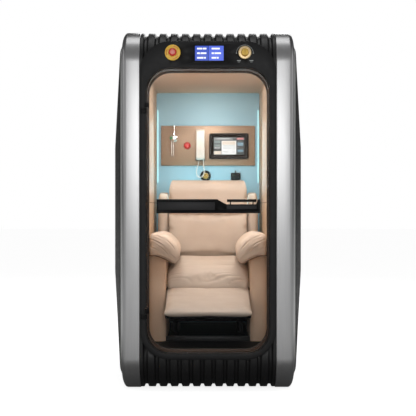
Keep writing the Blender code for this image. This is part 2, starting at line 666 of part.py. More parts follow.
def smooth_route(points, steps):
    """Points of a smooth curve that passes through the route's own points."""
    points = [Vector(point) for point in points]
    padded = [points[0] * 2 - points[1]] + points + [points[-1] * 2 - points[-2]]
    smooth = []
    for before, start, end, after in zip(padded, padded[1:], padded[2:], padded[3:]):
        for step in range(steps):
            t = step / steps
            smooth.append(0.5 * (2 * start + (end - before) * t
                                 + (2 * before - 5 * start + 4 * end - after) * t ** 2
                                 + (3 * start - before - 3 * end + after) * t ** 3))
    return smooth + [points[-1]]


def make_handset_cord(finishes):
    """The cord itself, a plain tube with filled ends."""
    curve = bpy.data.curves.new("handset_cord", "CURVE")
    curve.dimensions = "3D"
    curve.bevel_depth = CORD_RADIUS
    curve.bevel_resolution = 2
    curve.use_fill_caps = True
    route = smooth_route(CORD_ROUTE, CORD_STEPS)
    spline = curve.splines.new("POLY")
    spline.points.add(len(route) - 1)
    for point, place in zip(spline.points, route):
        point.co = (*place, 1.0)
    curve.materials.append(finishes["white"])
    bpy.context.scene.collection.objects.link(bpy.data.objects.new("handset_cord", curve))


def make_wall_fittings(finishes):
    """Air port flange, and the small intercom box with a stub aerial."""
    back = CABIN_BACK - GAP
    profile = [(0.037, back), (0.037, 0.606), (0.033, 0.602), (0.0225, 0.604), (0.0200, 0.612),
               (0.0140, 0.605), (0.0095, 0.606), (0.0095, 0.690), (0.0200, 0.690), (0.0200, back)]
    finish("air_port", turned_mesh(profile, PORT_PLACE, closed=True, sides=20), finishes["rubber"])
    box = finish("intercom_box", box_mesh((0.157, 0.585, 1.172), (0.223, back, 1.227), 0.003),
                 finishes["bar"])
    combine(box, "intercom_aerial", upright_rod((0.190, 0.603), 1.222, 1.245, 0.004, 10), "UNION")


# ---------------------------------------------------------------- recliner
def make_seat(finishes):
    """Steel seat frame with its toe rail, pivot ears and the crowned seat cushion."""
    frame = finish("seat_frame", box_mesh((-0.235, -0.215, 0.300), (0.235, 0.345, 0.425)),
                   finishes["steel"])
    rail = box_mesh((-0.2485, -0.345, FLOOR_TOP + GAP), (0.2485, -0.315, 0.229))
    combine(frame, "seat_frame_rail", rail, "UNION")
    for index, x in enumerate((-0.20, 0.20)):
        foot = box_mesh((x - 0.02, -0.325, FLOOR_TOP + 2 * GAP), (x + 0.02, 0.330, 0.226))
        combine(frame, "seat_frame_foot_%d" % index, foot, "UNION")
        leg = box_mesh((x - 0.015, -0.10, 0.215), (x + 0.015, 0.25, 0.31))
        combine(frame, "seat_frame_leg_%d" % index, leg, "UNION")
    for index, x in enumerate((-0.2265, 0.2265)):
        ear = box_mesh((x - 0.006, 0.305, 0.410), (x + 0.006, 0.342, 0.53))
        combine(frame, "seat_frame_ear_%d" % index, ear, "UNION")
        inward = -math.copysign(0.022, x)
        combine(frame, "seat_frame_pin_%d" % index, cross_rod(RECLINE_AXIS, x, x + inward, 0.008),
                "UNION")
    finish("seat_cushion", prism_mesh(SEAT_PROFILE, "X", -SEAT_HALF, SEAT_HALF, 0.012, 2),
           finishes["leather"])


def make_backrest(finishes):
    """Winged backrest shell with its back cushion and headrest, on the recline axis."""
    axis = pivot_at("recline_axis", (0.0, *RECLINE_AXIS))
    tan = finishes["leather"]
    shell = finish("backrest_shell",
                   prism_mesh(SHELL_PROFILE, "X", -BACKREST_HALF, BACKREST_HALF, 0.010, 2), tan, axis)
    for side, name in ((-1, "left"), (1, "right")):
        low, high = sorted((side * 0.2185, side * 0.36))
        combine(shell, "backrest_notch_" + name, box_mesh((low, 0.25, 0.45), (high, 0.50, 0.700)),
                "DIFFERENCE")
    combine(shell, "backrest_bore", cross_rod(RECLINE_AXIS, -0.30, 0.30, 0.0085), "DIFFERENCE")
    for name, profile in (("back_cushion", BACK_PROFILE), ("headrest", HEAD_PROFILE)):
        finish(name, prism_mesh(profile, "X", -BACK_PAD_HALF, BACK_PAD_HALF, 0.010, 2), tan, axis)


def make_arm(side, name, finishes):
    """Upholstered arm panel with the plump pad that rolls over its top and inner edge."""
    low, high = sorted((side * ARM_INNER, side * ARM_OUTER))
    panel = [(-0.360, FLOOR_TOP + GAP), (-0.360, 0.660), (-0.330, 0.718), (0.212, 0.718),
             (0.212, FLOOR_TOP + GAP)]
    arm = finish("arm_" + name, prism_mesh(panel, "X", low, high, 0.008, 2), finishes["leather"])
    combine(arm, "arm_pin_hole_" + name,
            cross_rod(FOOTREST_AXIS, side * 0.22, side * 0.272, 0.0063), "DIFFERENCE")
    pad = [(0.350, 0.7215), (0.350, 0.790), (0.320, 0.828), (0.280, 0.840), (0.230, 0.832),
           (0.190, 0.805), (0.168, 0.765), (0.166, 0.725), (0.178, 0.690), (0.2475, 0.690),
           (0.2475, 0.7215)]
    finish("arm_pad_" + name, prism_mesh([(side * x, z) for x, z in pad], "Y", -0.400, 0.212),
           finishes["leather"])


def make_footrest(finishes):
    """Footrest frame whose side links hang on pins in the arms, and its long pad."""
    axis = pivot_at("footrest_axis", (0.0, *FOOTREST_AXIS))
    board = [(-0.278, 0.4285), (-0.278, 0.4125), (-0.630, 0.3560), (-0.630, 0.3720)]
    frame = finish("footrest_frame", prism_mesh(board, "X", -0.2425, 0.2425), finishes["steel"],
                   axis)
    for side, name in ((-1, "left"), (1, "right")):
        low, high = sorted((side * 0.2425, side * 0.2470))
        link = [(-0.265, 0.487), (-0.243, 0.487), (-0.243, 0.513), (-0.265, 0.513), (-0.320, 0.430),
                (-0.320, 0.4060), (-0.285, 0.4100)]
        combine(frame, "footrest_link_" + name, prism_mesh(link, "X", low - 0.0002, high), "UNION")
        combine(frame, "footrest_pin_" + name,
                cross_rod(FOOTREST_AXIS, side * 0.2445, side * 0.268, 0.0058), "UNION")
    pad = [(-0.2625, 0.506), (-0.2625, 0.4315), (-0.6470, 0.3705), (-0.6500, 0.390), (-0.6400, 0.400),
           (-0.5200, 0.4420), (-0.4000, 0.4780), (-0.3000, 0.5040)]
    finish("footrest_pad", prism_mesh(pad, "X", -0.2415, 0.2415, 0.006, 2), finishes["leather"],
           axis)


# ---------------------------------------------------------------- rear equipment bay
def make_rear_equipment(finishes):
    """Air unit, control box and power inlet behind the cabin's rear wall."""
    case = finishes["grey_case"]
    unit = finish("air_unit", box_mesh((-0.24, BAY_FRONT, 0.55), (0.14, 0.80, 0.98), 0.006), case)
    combine(unit, "air_unit_riser", upright_rod((PORT_PLACE[0], 0.720), 0.96, 1.16, 0.020, 12),
            "UNION")
    combine(unit, "air_unit_head", box_mesh((-0.045, 0.6925, 1.15), (0.011, 0.748, 1.24)), "UNION")
    finish("control_box", box_mesh((-0.18, BAY_FRONT, 1.34), (0.18, 0.76, 1.60), 0.004), case)
    inlet = finish("power_inlet", box_mesh((0.0603, 0.840, 0.3153), (0.1397, 0.8945, 0.3747)),
                   finishes["bar"])
    combine(inlet, "power_inlet_socket", box_mesh((0.075, 0.866, 0.325), (0.125, 0.92, 0.365)),
            "DIFFERENCE")


def build():
    """Make the whole cabin."""
    remove_old_objects()
    finishes = make_materials()
    for name, side in (("left", -1), ("right", 1)):
        make_side_frame("side_frame_" + name, side, finishes)
        make_side_trim("side_trim_" + name, side, finishes)
        make_side_cover("side_cover_" + name, side, finishes)
        make_arm(side, name, finishes)
    make_roof(finishes)
    make_ribbed_shell("base_shell", HEIGHT - BASE_FRONT_END, HEIGHT - BASE_REAR_END, True, finishes)
    make_rear(finishes)
    make_fascia(finishes)
    make_doorway(finishes)
    make_door(finishes)
    make_header_controls(finishes)
    make_lining(finishes)
    make_instruments(finishes)
    make_valve(finishes)
    make_telephone(finishes)
    make_wall_fittings(finishes)
    make_seat(finishes)
    make_backrest(finishes)
    make_footrest(finishes)
    make_rear_equipment(finishes)


build()
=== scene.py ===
"""Finished surfaces of the sit-in wellness cabin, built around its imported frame.

Metres, +X right, +Z up, doorway towards -Y. Places come from the CAD nodes' boxes.
"""
import json
import math

import bmesh
import bpy
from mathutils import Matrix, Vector, noise


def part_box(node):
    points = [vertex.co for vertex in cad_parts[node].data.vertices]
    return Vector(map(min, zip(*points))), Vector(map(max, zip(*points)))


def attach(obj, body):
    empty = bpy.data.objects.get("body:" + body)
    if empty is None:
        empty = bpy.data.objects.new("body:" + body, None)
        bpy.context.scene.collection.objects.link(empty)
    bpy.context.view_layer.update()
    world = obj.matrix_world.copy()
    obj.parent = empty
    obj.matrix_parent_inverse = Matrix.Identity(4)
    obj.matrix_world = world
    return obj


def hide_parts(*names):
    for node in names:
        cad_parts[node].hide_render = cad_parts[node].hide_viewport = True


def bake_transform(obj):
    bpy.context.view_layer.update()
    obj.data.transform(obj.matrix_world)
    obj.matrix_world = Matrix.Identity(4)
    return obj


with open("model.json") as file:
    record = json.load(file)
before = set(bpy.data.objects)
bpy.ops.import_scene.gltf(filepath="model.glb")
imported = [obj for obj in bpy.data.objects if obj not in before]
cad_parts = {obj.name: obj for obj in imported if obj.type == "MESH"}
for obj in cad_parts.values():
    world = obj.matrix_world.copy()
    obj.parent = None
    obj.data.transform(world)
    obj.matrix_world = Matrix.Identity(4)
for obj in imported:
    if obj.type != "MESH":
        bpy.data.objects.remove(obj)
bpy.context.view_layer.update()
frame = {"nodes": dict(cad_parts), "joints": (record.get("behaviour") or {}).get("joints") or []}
NODES = frame["nodes"]
SCENE = bpy.context.scene

# ---------------------------------------------------------------- places read from the frame
BAND_LOW, BAND_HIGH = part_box("side_frame_right")
COVER_LOW, COVER_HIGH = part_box("side_cover_right")
ROOF_LOW, ROOF_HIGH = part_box("roof_shell")
BASE_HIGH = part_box("base_shell")[1]
FASCIA_LOW, FASCIA_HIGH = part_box("front_fascia")
REVEAL_LOW, REVEAL_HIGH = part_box("door_reveal")
PANE_LOW, PANE_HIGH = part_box("door_pane")
BAR_LOW, BAR_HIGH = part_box("crossbar")
BOARD_LOW, BOARD_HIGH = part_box("instrument_board")
SCREEN_LOW, SCREEN_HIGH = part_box("tablet_screen")
LINER_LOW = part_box("wall_liner_right")[0]
HATCH_LOW, HATCH_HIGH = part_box("rear_hatch")

HEIGHT = BAND_HIGH.z
HALF_DEPTH = BAND_HIGH.y
CORNER = 0.18                # bend of the shell seen from the side
FINE = 20                    # segments in a shell corner
RIB_PITCH = 0.0612
RIB_CREST = 0.035
RIB_SLOPE = 0.006
RIB_DEPTH = 0.015
SHELL_THICK = 0.021
REVEAL_WALL = 0.008
OPENING_CORNER = 0.128
FASCIA_CORNER = 0.165
OPENING_LOW = REVEAL_LOW.z + REVEAL_WALL
OPENING_HIGH = REVEAL_HIGH.z - REVEAL_WALL
OPENING_HALF = REVEAL_HIGH.x - REVEAL_WALL
DOOR_AXIS = (-OPENING_HALF, -0.8875)
GAP = 0.0003
SIDES = (("left", -1), ("right", 1))


# ---------------------------------------------------------------- material building
def new_material(name):
    """A node material, with its shader, nodes and links."""
    made = bpy.data.materials.new(name)
    made.use_nodes = True
    tree = made.node_tree
    return made, tree.nodes["Principled BSDF"], tree.nodes, tree.links


def noise_node(nodes, links, scale, detail=3.0, roughness=0.55, stretch=None):
    """Noise in the object's own metres, stretched along an axis when asked."""
    place = nodes.new("ShaderNodeTexCoord")
    source = place.outputs["Object"]
    if stretch:
        mapping = nodes.new("ShaderNodeMapping")
        mapping.inputs["Scale"].default_value = stretch
        links.new(source, mapping.inputs["Vector"])
        source = mapping.outputs["Vector"]
    made = nodes.new("ShaderNodeTexNoise")
    made.inputs["Scale"].default_value = scale
    made.inputs["Detail"].default_value = detail
    made.inputs["Roughness"].default_value = roughness
    links.new(source, made.inputs["Vector"])
    return made


def cell_node(nodes, links, scale, randomness):
    """Cells in the object's own metres: a plain grid of dots without randomness."""
    place = nodes.new("ShaderNodeTexCoord")
    made = nodes.new("ShaderNodeTexVoronoi")
    made.inputs["Scale"].default_value = scale
    made.inputs["Randomness"].default_value = randomness
    links.new(place.outputs["Object"], made.inputs["Vector"])
    return made


def map_span(nodes, links, source, span_from, span_to):
    """A socket's range mapped on to another."""
    made = nodes.new("ShaderNodeMapRange")
    made.inputs["From Min"].default_value, made.inputs["From Max"].default_value = span_from
    made.inputs["To Min"].default_value, made.inputs["To Max"].default_value = span_to
    links.new(source, made.inputs["Value"])
    return made.outputs["Result"]


def tint_by(nodes, links, shader, factor, dark, light):
    """Colour between two tones, led by a factor socket."""
    ramp = nodes.new("ShaderNodeValToRGB")
    ramp.color_ramp.elements[0].position = 0.3
    ramp.color_ramp.elements[1].position = 0.7
    ramp.color_ramp.elements[0].color = (*dark, 1.0)
    ramp.color_ramp.elements[1].color = (*light, 1.0)
    links.new(factor, ramp.inputs["Fac"])
    links.new(ramp.outputs["Color"], shader.inputs["Base Color"])


def roughen(nodes, links, shader, factor, low, high):
    """Roughness between two values, led by a factor socket."""
    links.new(map_span(nodes, links, factor, (0.3, 0.7), (low, high)), shader.inputs["Roughness"])


def bump_by(nodes, links, shader, height, distance, strength=1.0, under=None):
    """Bump from a height socket, on top of another bump when one is given."""
    made = nodes.new("ShaderNodeBump")
    made.inputs["Distance"].default_value = distance
    made.inputs["Strength"].default_value = strength
    links.new(height, made.inputs["Height"])
    if under:
        links.new(under.outputs["Normal"], made.inputs["Normal"])
    links.new(made.outputs["Normal"], shader.inputs["Normal"])
    return made


def set_sockets(shader, values):
    """Uniform values go straight on the shader's own sockets."""
    for socket, value in values.items():
        shader.inputs[socket].default_value = value


def moulded(name, colour, roughness, vary=0.10, grain=1400.0, depth=0.00012, **sockets):
    """Moulded plastic or powder paint: faint cloudy tone, fine grain, uneven gloss."""
    made, shader, nodes, links = new_material(name)
    cloud = noise_node(nodes, links, 5.0, 4.0)
    dark = tuple(channel * (1.0 - vary) for channel in colour)
    light = tuple(min(1.0, channel * (1.0 + vary)) for channel in colour)
    tint_by(nodes, links, shader, cloud.outputs["Fac"], dark, light)
    smear = noise_node(nodes, links, 38.0, 3.0)
    roughen(nodes, links, shader, smear.outputs["Fac"], roughness * 0.88, min(1.0, roughness * 1.12))
    fine = noise_node(nodes, links, grain, 2.0)
    bump_by(nodes, links, shader, fine.outputs["Fac"], depth, 0.6)
    set_sockets(shader, sockets)
    return made


def brushed(name, colour, roughness, stretch, metallic=1.0, depth=0.00002, scale=160.0, **sockets):
    """Brushed or drawn metal with its grain along one axis."""
    made, shader, nodes, links = new_material(name)
    lines = noise_node(nodes, links, scale, 5.0, 0.65, stretch)
    dark = tuple(channel * 0.96 for channel in colour)
    light = tuple(min(1.0, channel * 1.03) for channel in colour)
    tint_by(nodes, links, shader, lines.outputs["Fac"], dark, light)
    roughen(nodes, links, shader, lines.outputs["Fac"], roughness * 0.92, roughness * 1.1)
    bump_by(nodes, links, shader, lines.outputs["Fac"], depth, 0.5)
    set_sockets(shader, {"Metallic": metallic, **sockets})
    return made


def leather(name, colour, shade):
    """Soft pebbled leather: fine cells, slow colour drift and a light sheen."""
    made, shader, nodes, links = new_material(name)
    drift = noise_node(nodes, links, 7.0, 5.0, 0.6)
    tint_by(nodes, links, shader, drift.outputs["Fac"], shade, colour)
    rub = noise_node(nodes, links, 26.0, 4.0)
    roughen(nodes, links, shader, rub.outputs["Fac"], 0.44, 0.58)
    crease = noise_node(nodes, links, 60.0, 6.0, 0.7)
    first = bump_by(nodes, links, shader, crease.outputs["Fac"], 0.0012, 0.35)
    cells = cell_node(nodes, links, 520.0, 1.0)
    cells.feature = "SMOOTH_F1"
    bump_by(nodes, links, shader, cells.outputs["Distance"], 0.0004, 0.45, first)
    set_sockets(shader, {"Specular IOR Level": 0.42, "Sheen Weight": 0.12, "Sheen Roughness": 0.5,
                         "Sheen Tint": (1.0, 0.93, 0.86, 1.0)})
    return made


def glowing(name, colour, strength, base=None, roughness=0.35):
    """A lit surface with a faintly uneven diffuser."""
    made, shader, nodes, links = new_material(name)
    cloud = noise_node(nodes, links, 60.0, 2.0)
    tone = base or colour
    tint_by(nodes, links, shader, cloud.outputs["Fac"], tuple(c * 0.95 for c in tone), tone)
    set_sockets(shader, {"Emission Color": (*colour, 1.0), "Emission Strength": strength,
                         "Roughness": roughness})
    return made


def clear_pane(name):
    """Clear door glazing: almost no body, thin reflections, faint smears."""
    made, shader, nodes, links = new_material(name)
    smear = noise_node(nodes, links, 9.0, 4.0)
    roughen(nodes, links, shader, smear.outputs["Fac"], 0.02, 0.05)
    set_sockets(shader, {"Base Color": (0.010, 0.012, 0.012, 1.0), "Alpha": 0.05, "IOR": 1.49,
                         "Specular IOR Level": 0.5})
    return made


def ribbed_rubber(name, colour):
    """Floor matting with a raised round-dot pattern."""
    made, shader, nodes, links = new_material(name)
    dust = noise_node(nodes, links, 11.0, 5.0)
    tint_by(nodes, links, shader, dust.outputs["Fac"], colour, tuple(c * 1.7 for c in colour))
    dots = cell_node(nodes, links, 42.0, 0.0)
    edge = map_span(nodes, links, dots.outputs["Distance"], (0.30, 0.38), (1.0, 0.0))
    bump_by(nodes, links, shader, edge, 0.0012, 0.8)
    set_sockets(shader, {"Roughness": 0.70, "Specular IOR Level": 0.12})
    return made


def grille_metal(name, colour):
    """Perforated dark metal."""
    made, shader, nodes, links = new_material(name)
    dots = cell_node(nodes, links, 210.0, 0.0)
    tint_by(nodes, links, shader, dots.outputs["Distance"], tuple(c * 0.2 for c in colour), colour)
    bump_by(nodes, links, shader, dots.outputs["Distance"], 0.0008, 0.9)
    set_sockets(shader, {"Metallic": 0.7, "Roughness": 0.4})
    return made


def make_materials():
    """Every finish on the cabin."""
    return {
        "silver": brushed("satin_silver", (0.37, 0.37, 0.373), 0.30, (1.0, 1.0, 0.03), 0.85,
                          **{"Coat Weight": 0.15, "Coat Roughness": 0.3}),
        "trim": brushed("trim_metal", (0.42, 0.43, 0.42), 0.34, (1.0, 1.0, 0.05), 0.7),
        "shell": moulded("shell_black", (0.011, 0.011, 0.0115), 0.42, 0.18, 1100.0, 0.00018,
                         **{"Specular IOR Level": 0.35}),
        "cover": moulded("cover_black", (0.008, 0.008, 0.0085), 0.46, 0.16, 1100.0, 0.00018,
                         **{"Specular IOR Level": 0.13}),
        "inlay": brushed("inlay_grey", (0.050, 0.050, 0.052), 0.42, (1.0, 0.05, 1.0), 0.5),
        "fascia": moulded("fascia_black", (0.0095, 0.0095, 0.010), 0.50, 0.07, 1800.0, 0.00008,
                          **{"Specular IOR Level": 0.22}),
        "bronze": brushed("bronze_anodised", (0.050, 0.027, 0.016), 0.45, (1.0, 0.06, 1.0), 0.30),
        "rubber": moulded("seal_black", (0.007, 0.007, 0.0065), 0.75, 0.2, 900.0, 0.0002),
        "clear": clear_pane("door_clear"),
        "bar": moulded("bar_black", (0.0042, 0.0042, 0.0042), 0.36, 0.12, 1700.0, 0.00006,
                       **{"Specular IOR Level": 0.12}),
        "bar_face": brushed("bar_inset", (0.017, 0.017, 0.018), 0.42, (0.05, 1.0, 1.0), 0.3,
                            **{"Specular IOR Level": 0.25}),
        "yellow": moulded("collar_yellow", (0.80, 0.50, 0.05), 0.34, 0.08, 900.0, 0.00008),
        "red": moulded("button_red", (0.62, 0.035, 0.03), 0.30, 0.08, 900.0, 0.00008),
        # lighter pink for the stop button's cap: a painted highlight on the red mushroom
        "pink": moulded("button_cap", (0.72, 0.22, 0.18), 0.28, 0.08, 900.0, 0.00008),
        "gold": brushed("knob_brass", (0.84, 0.64, 0.36), 0.36, (1.0, 1.0, 1.0), 0.7),
        "amber": brushed("knob_amber", (0.56, 0.36, 0.07), 0.44, (1.0, 1.0, 1.0), 0.5),
        "liner": moulded("liner_beige", (0.56, 0.405, 0.275), 0.50, 0.05, 700.0, 0.00015),
        "joint": moulded("liner_joint", (0.20, 0.135, 0.085), 0.6, 0.1, 700.0, 0.0001),
        "blue_wall": moulded("wall_pale_blue", (0.32, 0.55, 0.68), 0.50, 0.04, 700.0, 0.0001),
        "light": glowing("light_cyan", (0.50, 0.86, 0.90), 0.58),
        "floor": ribbed_rubber("floor_matting", (0.0045, 0.0045, 0.0045)),
        "board": brushed("board_bronze", (0.33, 0.225, 0.15), 0.40, (0.05, 1.0, 1.0), 0.35),
        "tablet": moulded("tablet_bezel", (0.012, 0.008, 0.006), 0.36, 0.1, 1500.0, 0.00003,
                          **{"Specular IOR Level": 0.20}),
        "white": moulded("phone_white", (0.76, 0.73, 0.69), 0.30, 0.03, 900.0, 0.00005),
        "cord": moulded("cord_white", (0.84, 0.82, 0.79), 0.42, 0.04, 900.0, 0.00005),
        "chrome": brushed("chrome_plate", (0.80, 0.80, 0.80), 0.12, (1.0, 1.0, 1.0), 1.0, 0.00001),
        "port_brass": brushed("port_brass", (0.50, 0.33, 0.11), 0.38, (1.0, 1.0, 1.0), 0.8),
        "green": moulded("knob_green", (0.02, 0.24, 0.07), 0.35, 0.1, 900.0, 0.0001),
        "leather": leather("leather_beige", (0.62, 0.520, 0.430), (0.56, 0.455, 0.370)),
        # lighter copy of the cushion leather: painted light on the arm pads
        "leather_pad": leather("leather_pad", (0.73, 0.585, 0.470), (0.66, 0.515, 0.405)),
        # darker, more saturated copy of the same leather: painted shade on the arm boxes
        "leather_arm": leather("leather_arm", (0.74, 0.545, 0.395), (0.67, 0.475, 0.335)),
        # darker leather for the rear panel, core and welt; on the seat gussets it is painted shade
        "leather_dark": leather("leather_side", (0.60, 0.44, 0.33), (0.53, 0.38, 0.28)),
        # near-black leather for the welt under the arm pads: a painted shadow line
        "piping": leather("leather_piping", (0.20, 0.12, 0.075), (0.15, 0.09, 0.055)),
        "thread": moulded("thread_beige", (0.55, 0.38, 0.25), 0.7, 0.1, 3000.0, 0.0002),
        "steel": brushed("frame_steel", (0.004, 0.004, 0.004), 0.6, (0.05, 1.0, 1.0), 0.1,
                         **{"Specular IOR Level": 0.12}),
        "rail": brushed("toe_rail", (0.013, 0.013, 0.014), 0.45, (0.05, 1.0, 1.0), 0.4),
        "case": moulded("case_grey", (0.28, 0.29, 0.30), 0.5, 0.06, 1200.0, 0.0001),
        "grille": grille_metal("grille_grey", (0.16, 0.16, 0.165)),
        "lcd_blue": glowing("display_blue", (0.10, 0.17, 0.78), 0.75, (0.03, 0.05, 0.3)),
        "lcd_deep": glowing("display_deep", (0.055, 0.11, 0.62), 0.7, (0.02, 0.04, 0.2)),
        "lcd_white": glowing("display_white", (0.82, 0.86, 1.0), 0.95, (0.5, 0.5, 0.5)),
        "ui_white": glowing("screen_white", (0.86, 0.88, 0.88), 0.72, (0.3, 0.3, 0.3)),
        "ui_grey": glowing("screen_grey", (0.34, 0.40, 0.40), 0.5, (0.15, 0.15, 0.15)),
        "ui_dark": glowing("screen_dark", (0.05, 0.075, 0.08), 0.5, (0.05, 0.05, 0.05)),
        "ui_blue": glowing("screen_blue", (0.16, 0.40, 0.56), 0.6, (0.1, 0.1, 0.1)),
        "ui_teal": glowing("screen_teal", (0.22, 0.36, 0.34), 0.5, (0.1, 0.1, 0.1)),
        "ui_red": glowing("screen_red", (0.72, 0.22, 0.22), 0.7, (0.2, 0.1, 0.1)),
        "ui_cream": glowing("screen_cream", (0.88, 0.74, 0.58), 0.7, (0.2, 0.2, 0.2)),
        "mark": moulded("mark_grey", (0.36, 0.38, 0.37), 0.5, 0.02, 900.0, 0.00002),
    }


FINISHES = make_materials()


# ---------------------------------------------------------------- mesh building
def piece(name, mesh_data, finish, body, stands_for=(), angle=32.0):
    """Turn a bmesh into a smooth-shaded piece with a named finish that rides on a body."""
    bmesh.ops.recalc_face_normals(mesh_data, faces=mesh_data.faces)
    mesh = bpy.data.meshes.new(name)
    mesh_data.to_mesh(mesh)
    mesh_data.free()
    mesh.shade_smooth()
    mesh.set_sharp_from_angle(angle=math.radians(angle))
    if finish:
        mesh.materials.append(FINISHES[finish])
    made = bpy.data.objects.new(name, mesh)
    SCENE.collection.objects.link(made)
    if body:
        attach(made, body)
    if stands_for:
        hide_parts(*stands_for)
    return made


def apply_modifiers(obj):
    """Keep what a piece's modifiers make of it as its own mesh."""
    evaluated = obj.evaluated_get(bpy.context.evaluated_depsgraph_get())
    result = bpy.data.meshes.new_from_object(evaluated)
    obj.modifiers.clear()
    obj.data = result


def skin(loops, closed):
    """Bridge a row of equally long loops. Open rows are capped at both ends."""
    made = bmesh.new()
    rows = [[made.verts.new(point) for point in loop] for loop in loops]
    count = len(loops[0])
    pairs = list(zip(rows, rows[1:]))
    if closed:
        pairs.append((rows[-1], rows[0]))
    for first, second in pairs:
        for index in range(count):
            after = (index + 1) % count
            made.faces.new((first[index], first[after], second[after], second[index]))
    if not closed:
        made.faces.new(rows[0])
        made.faces.new(rows[-1])
    return made


def merged(meshes):
    """Several bmeshes as one."""
    target = bmesh.new()
    for source in meshes:
        mesh = bpy.data.meshes.new("part")
        source.to_mesh(mesh)
        source.free()
        target.from_mesh(mesh)
        bpy.data.meshes.remove(mesh)
    return target


def rounded_outline(low_u, high_u, low_v, high_v, radius, segments=FINE):
    """A rectangle with round corners, anticlockwise, as (u, v) pairs."""
    centres = (
        (high_u - radius, high_v - radius, 0.0),
        (low_u + radius, high_v - radius, 90.0),
        (low_u + radius, low_v + radius, 180.0),
        (high_u - radius, low_v + radius, 270.0),
    )
    outline = []
    for centre_u, centre_v, start in centres:
        for step in range(segments + 1):
            angle = math.radians(start + 90.0 * step / segments)
            outline.append((centre_u + radius * math.cos(angle), centre_v + radius * math.sin(angle)))
    return outline


def round_edges(mesh_data, edges, width, segments):
    """Ease edges with a round of the given width."""
    bmesh.ops.bevel(mesh_data, geom=edges, offset=width, segments=segments, affect="EDGES", profile=0.5)


def box_mesh(low, high, bevel=0.001, segments=2):
    """A box with eased edges."""
    low, high = Vector(low), Vector(high)
    made = bmesh.new()
    bmesh.ops.create_cube(made, size=1.0)
    bmesh.ops.scale(made, vec=high - low, verts=made.verts)
    bmesh.ops.translate(made, vec=(low + high) / 2, verts=made.verts)
    if bevel:
        round_edges(made, made.edges[:], bevel, segments)
    return made


def middle_of(node):
    """The middle of a CAD node's box seen from the front, as an (x, z) pair."""
    low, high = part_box(node)
    return (low.x + high.x) / 2, (low.z + high.z) / 2


def axis_point(pair, axis, along):
    """A 2D pair put back into space at a place along an axis."""
    values = list(pair)
    values.insert("XYZ".index(axis), along)
    return Vector(values)


def prism_mesh(outline, axis, low, high, bevel=0.0, segments=2):
    """Extrude an outline along X, Y or Z, with its end edges eased."""
    made = skin([[axis_point(pair, axis, low) for pair in outline],
                 [axis_point(pair, axis, high) for pair in outline]], closed=False)
    if bevel:
        index = "XYZ".index(axis)
        ends = [edge for edge in made.edges
                if abs((edge.verts[0].co - edge.verts[1].co)[index]) < 0.000001]
        round_edges(made, ends, bevel, segments)
    return made


def turned_mesh(profile, centre, axis="Y", sides=48, closed=False):
    """Turn (radius, along) pairs about a line along one axis through a centre pair."""
    loops = []
    for radius, along in profile:
        loops.append([axis_point((centre[0] + radius * math.cos(2 * math.pi * side / sides),
                                  centre[1] + radius * math.sin(2 * math.pi * side / sides)), axis, along)
                      for side in range(sides)])
    return skin(loops, closed)


def tube_mesh(points, radius, sides=12, closed=False):
    """A round tube along points, with flat ends."""
    points = [Vector(point) for point in points]
    loops = []
    normal = None
    count = len(points)
    for index, point in enumerate(points):
        before = points[index - 1] if (index or closed) else point
        after = points[(index + 1) % count] if (index < count - 1 or closed) else point
        along = (after - before).normalized()
        if normal is None:
            normal = along.orthogonal().normalized()
        normal = (normal - along * normal.dot(along)).normalized()
        across = along.cross(normal)
        loops.append([point + radius * (normal * math.cos(2 * math.pi * side / sides)
                                        + across * math.sin(2 * math.pi * side / sides))
                      for side in range(sides)])
    return skin(loops, closed)


def smooth_route(points, steps, closed=False):
    """Points of a smooth curve that passes through the route's own points."""
    points = [Vector(point) for point in points]
    if closed:
        padded = [points[-1]] + points + [points[0], points[1]]
    else:
        padded = [points[0] * 2 - points[1]] + points + [points[-1] * 2 - points[-2]]
    smooth = []
    for before, start, end, after in zip(padded, padded[1:], padded[2:], padded[3:]):
        for step in range(steps):
            t = step / steps
            smooth.append(0.5 * (2 * start + (end - before) * t
                                 + (2 * before - 5 * start + 4 * end - after) * t ** 2
                                 + (3 * start - before - 3 * end + after) * t ** 3))
    return smooth if closed else smooth + [points[-1]]


def screw_mesh(centre, radius, axis="Y", out=-1.0):
    """A round screw head with a round socket, on a face."""
    index = "XYZ".index(axis)
    pair = [value for place, value in enumerate(centre) if place != index]
    base = centre[index]
    shape = ((1.0, 0.0), (1.0, 0.35), (0.8, 0.5), (0.45, 0.5), (0.42, 0.15))
    profile = [(radius * across, base + out * radius * up) for across, up in shape]
    return turned_mesh(profile, pair, axis, 12)


# ---------------------------------------------------------------- outer shell
def side_loop(x, inset, segments=FINE):
    """The cabin's side outline at one x, drawn in by an inset."""
    radius = max(CORNER - inset, 0.03)
    reach = HALF_DEPTH - inset
    outline = rounded_outline(-reach, reach, inset, HEIGHT - inset, radius, segments)
    return [Vector((x, y, z)) for y, z in outline]


def quarter_arc(start, end, steps, from_flat):
    """Points of a quarter ellipse between two (x, inset) corners."""
    points = []
    for step in range(steps + 1):
        angle = math.radians(90.0 * step / steps)
        across, down = (math.sin(angle), 1.0 - math.cos(angle))
        if not from_flat:
            across, down = 1.0 - math.cos(angle), math.sin(angle)
        points.append((start[0] + (end[0] - start[0]) * across,
                       start[1] + (end[1] - start[1]) * down))
    return points


BAND_BEVEL = 0.07            # depth of the rolled outer edge
BAND_FACE_END = 0.437        # where the flat face gives way to the roll
BAND_THICK = 0.088
BAND_FILLET = 0.004
BAND_SEGMENTS = 28           # segments in a band's corner, seen from the side


def make_side_frames():
    """Silver bands with a rolled outer edge and a small inner fillet."""
    section = quarter_arc((BAND_LOW.x, BAND_FILLET), (BAND_LOW.x + BAND_FILLET, 0.0), 4, from_flat=False)
    section += quarter_arc((BAND_FACE_END, 0.0), (BAND_HIGH.x, BAND_BEVEL), 14, from_flat=True)
    section += [(BAND_HIGH.x, BAND_THICK), (BAND_LOW.x, BAND_THICK)]
    for name, side in SIDES:
        loops = [side_loop(side * x, inset, BAND_SEGMENTS) for x, inset in section]
        piece("side_band_" + name, skin(loops, closed=True), "silver", "cabin", ["side_frame_" + name],
              50.0)


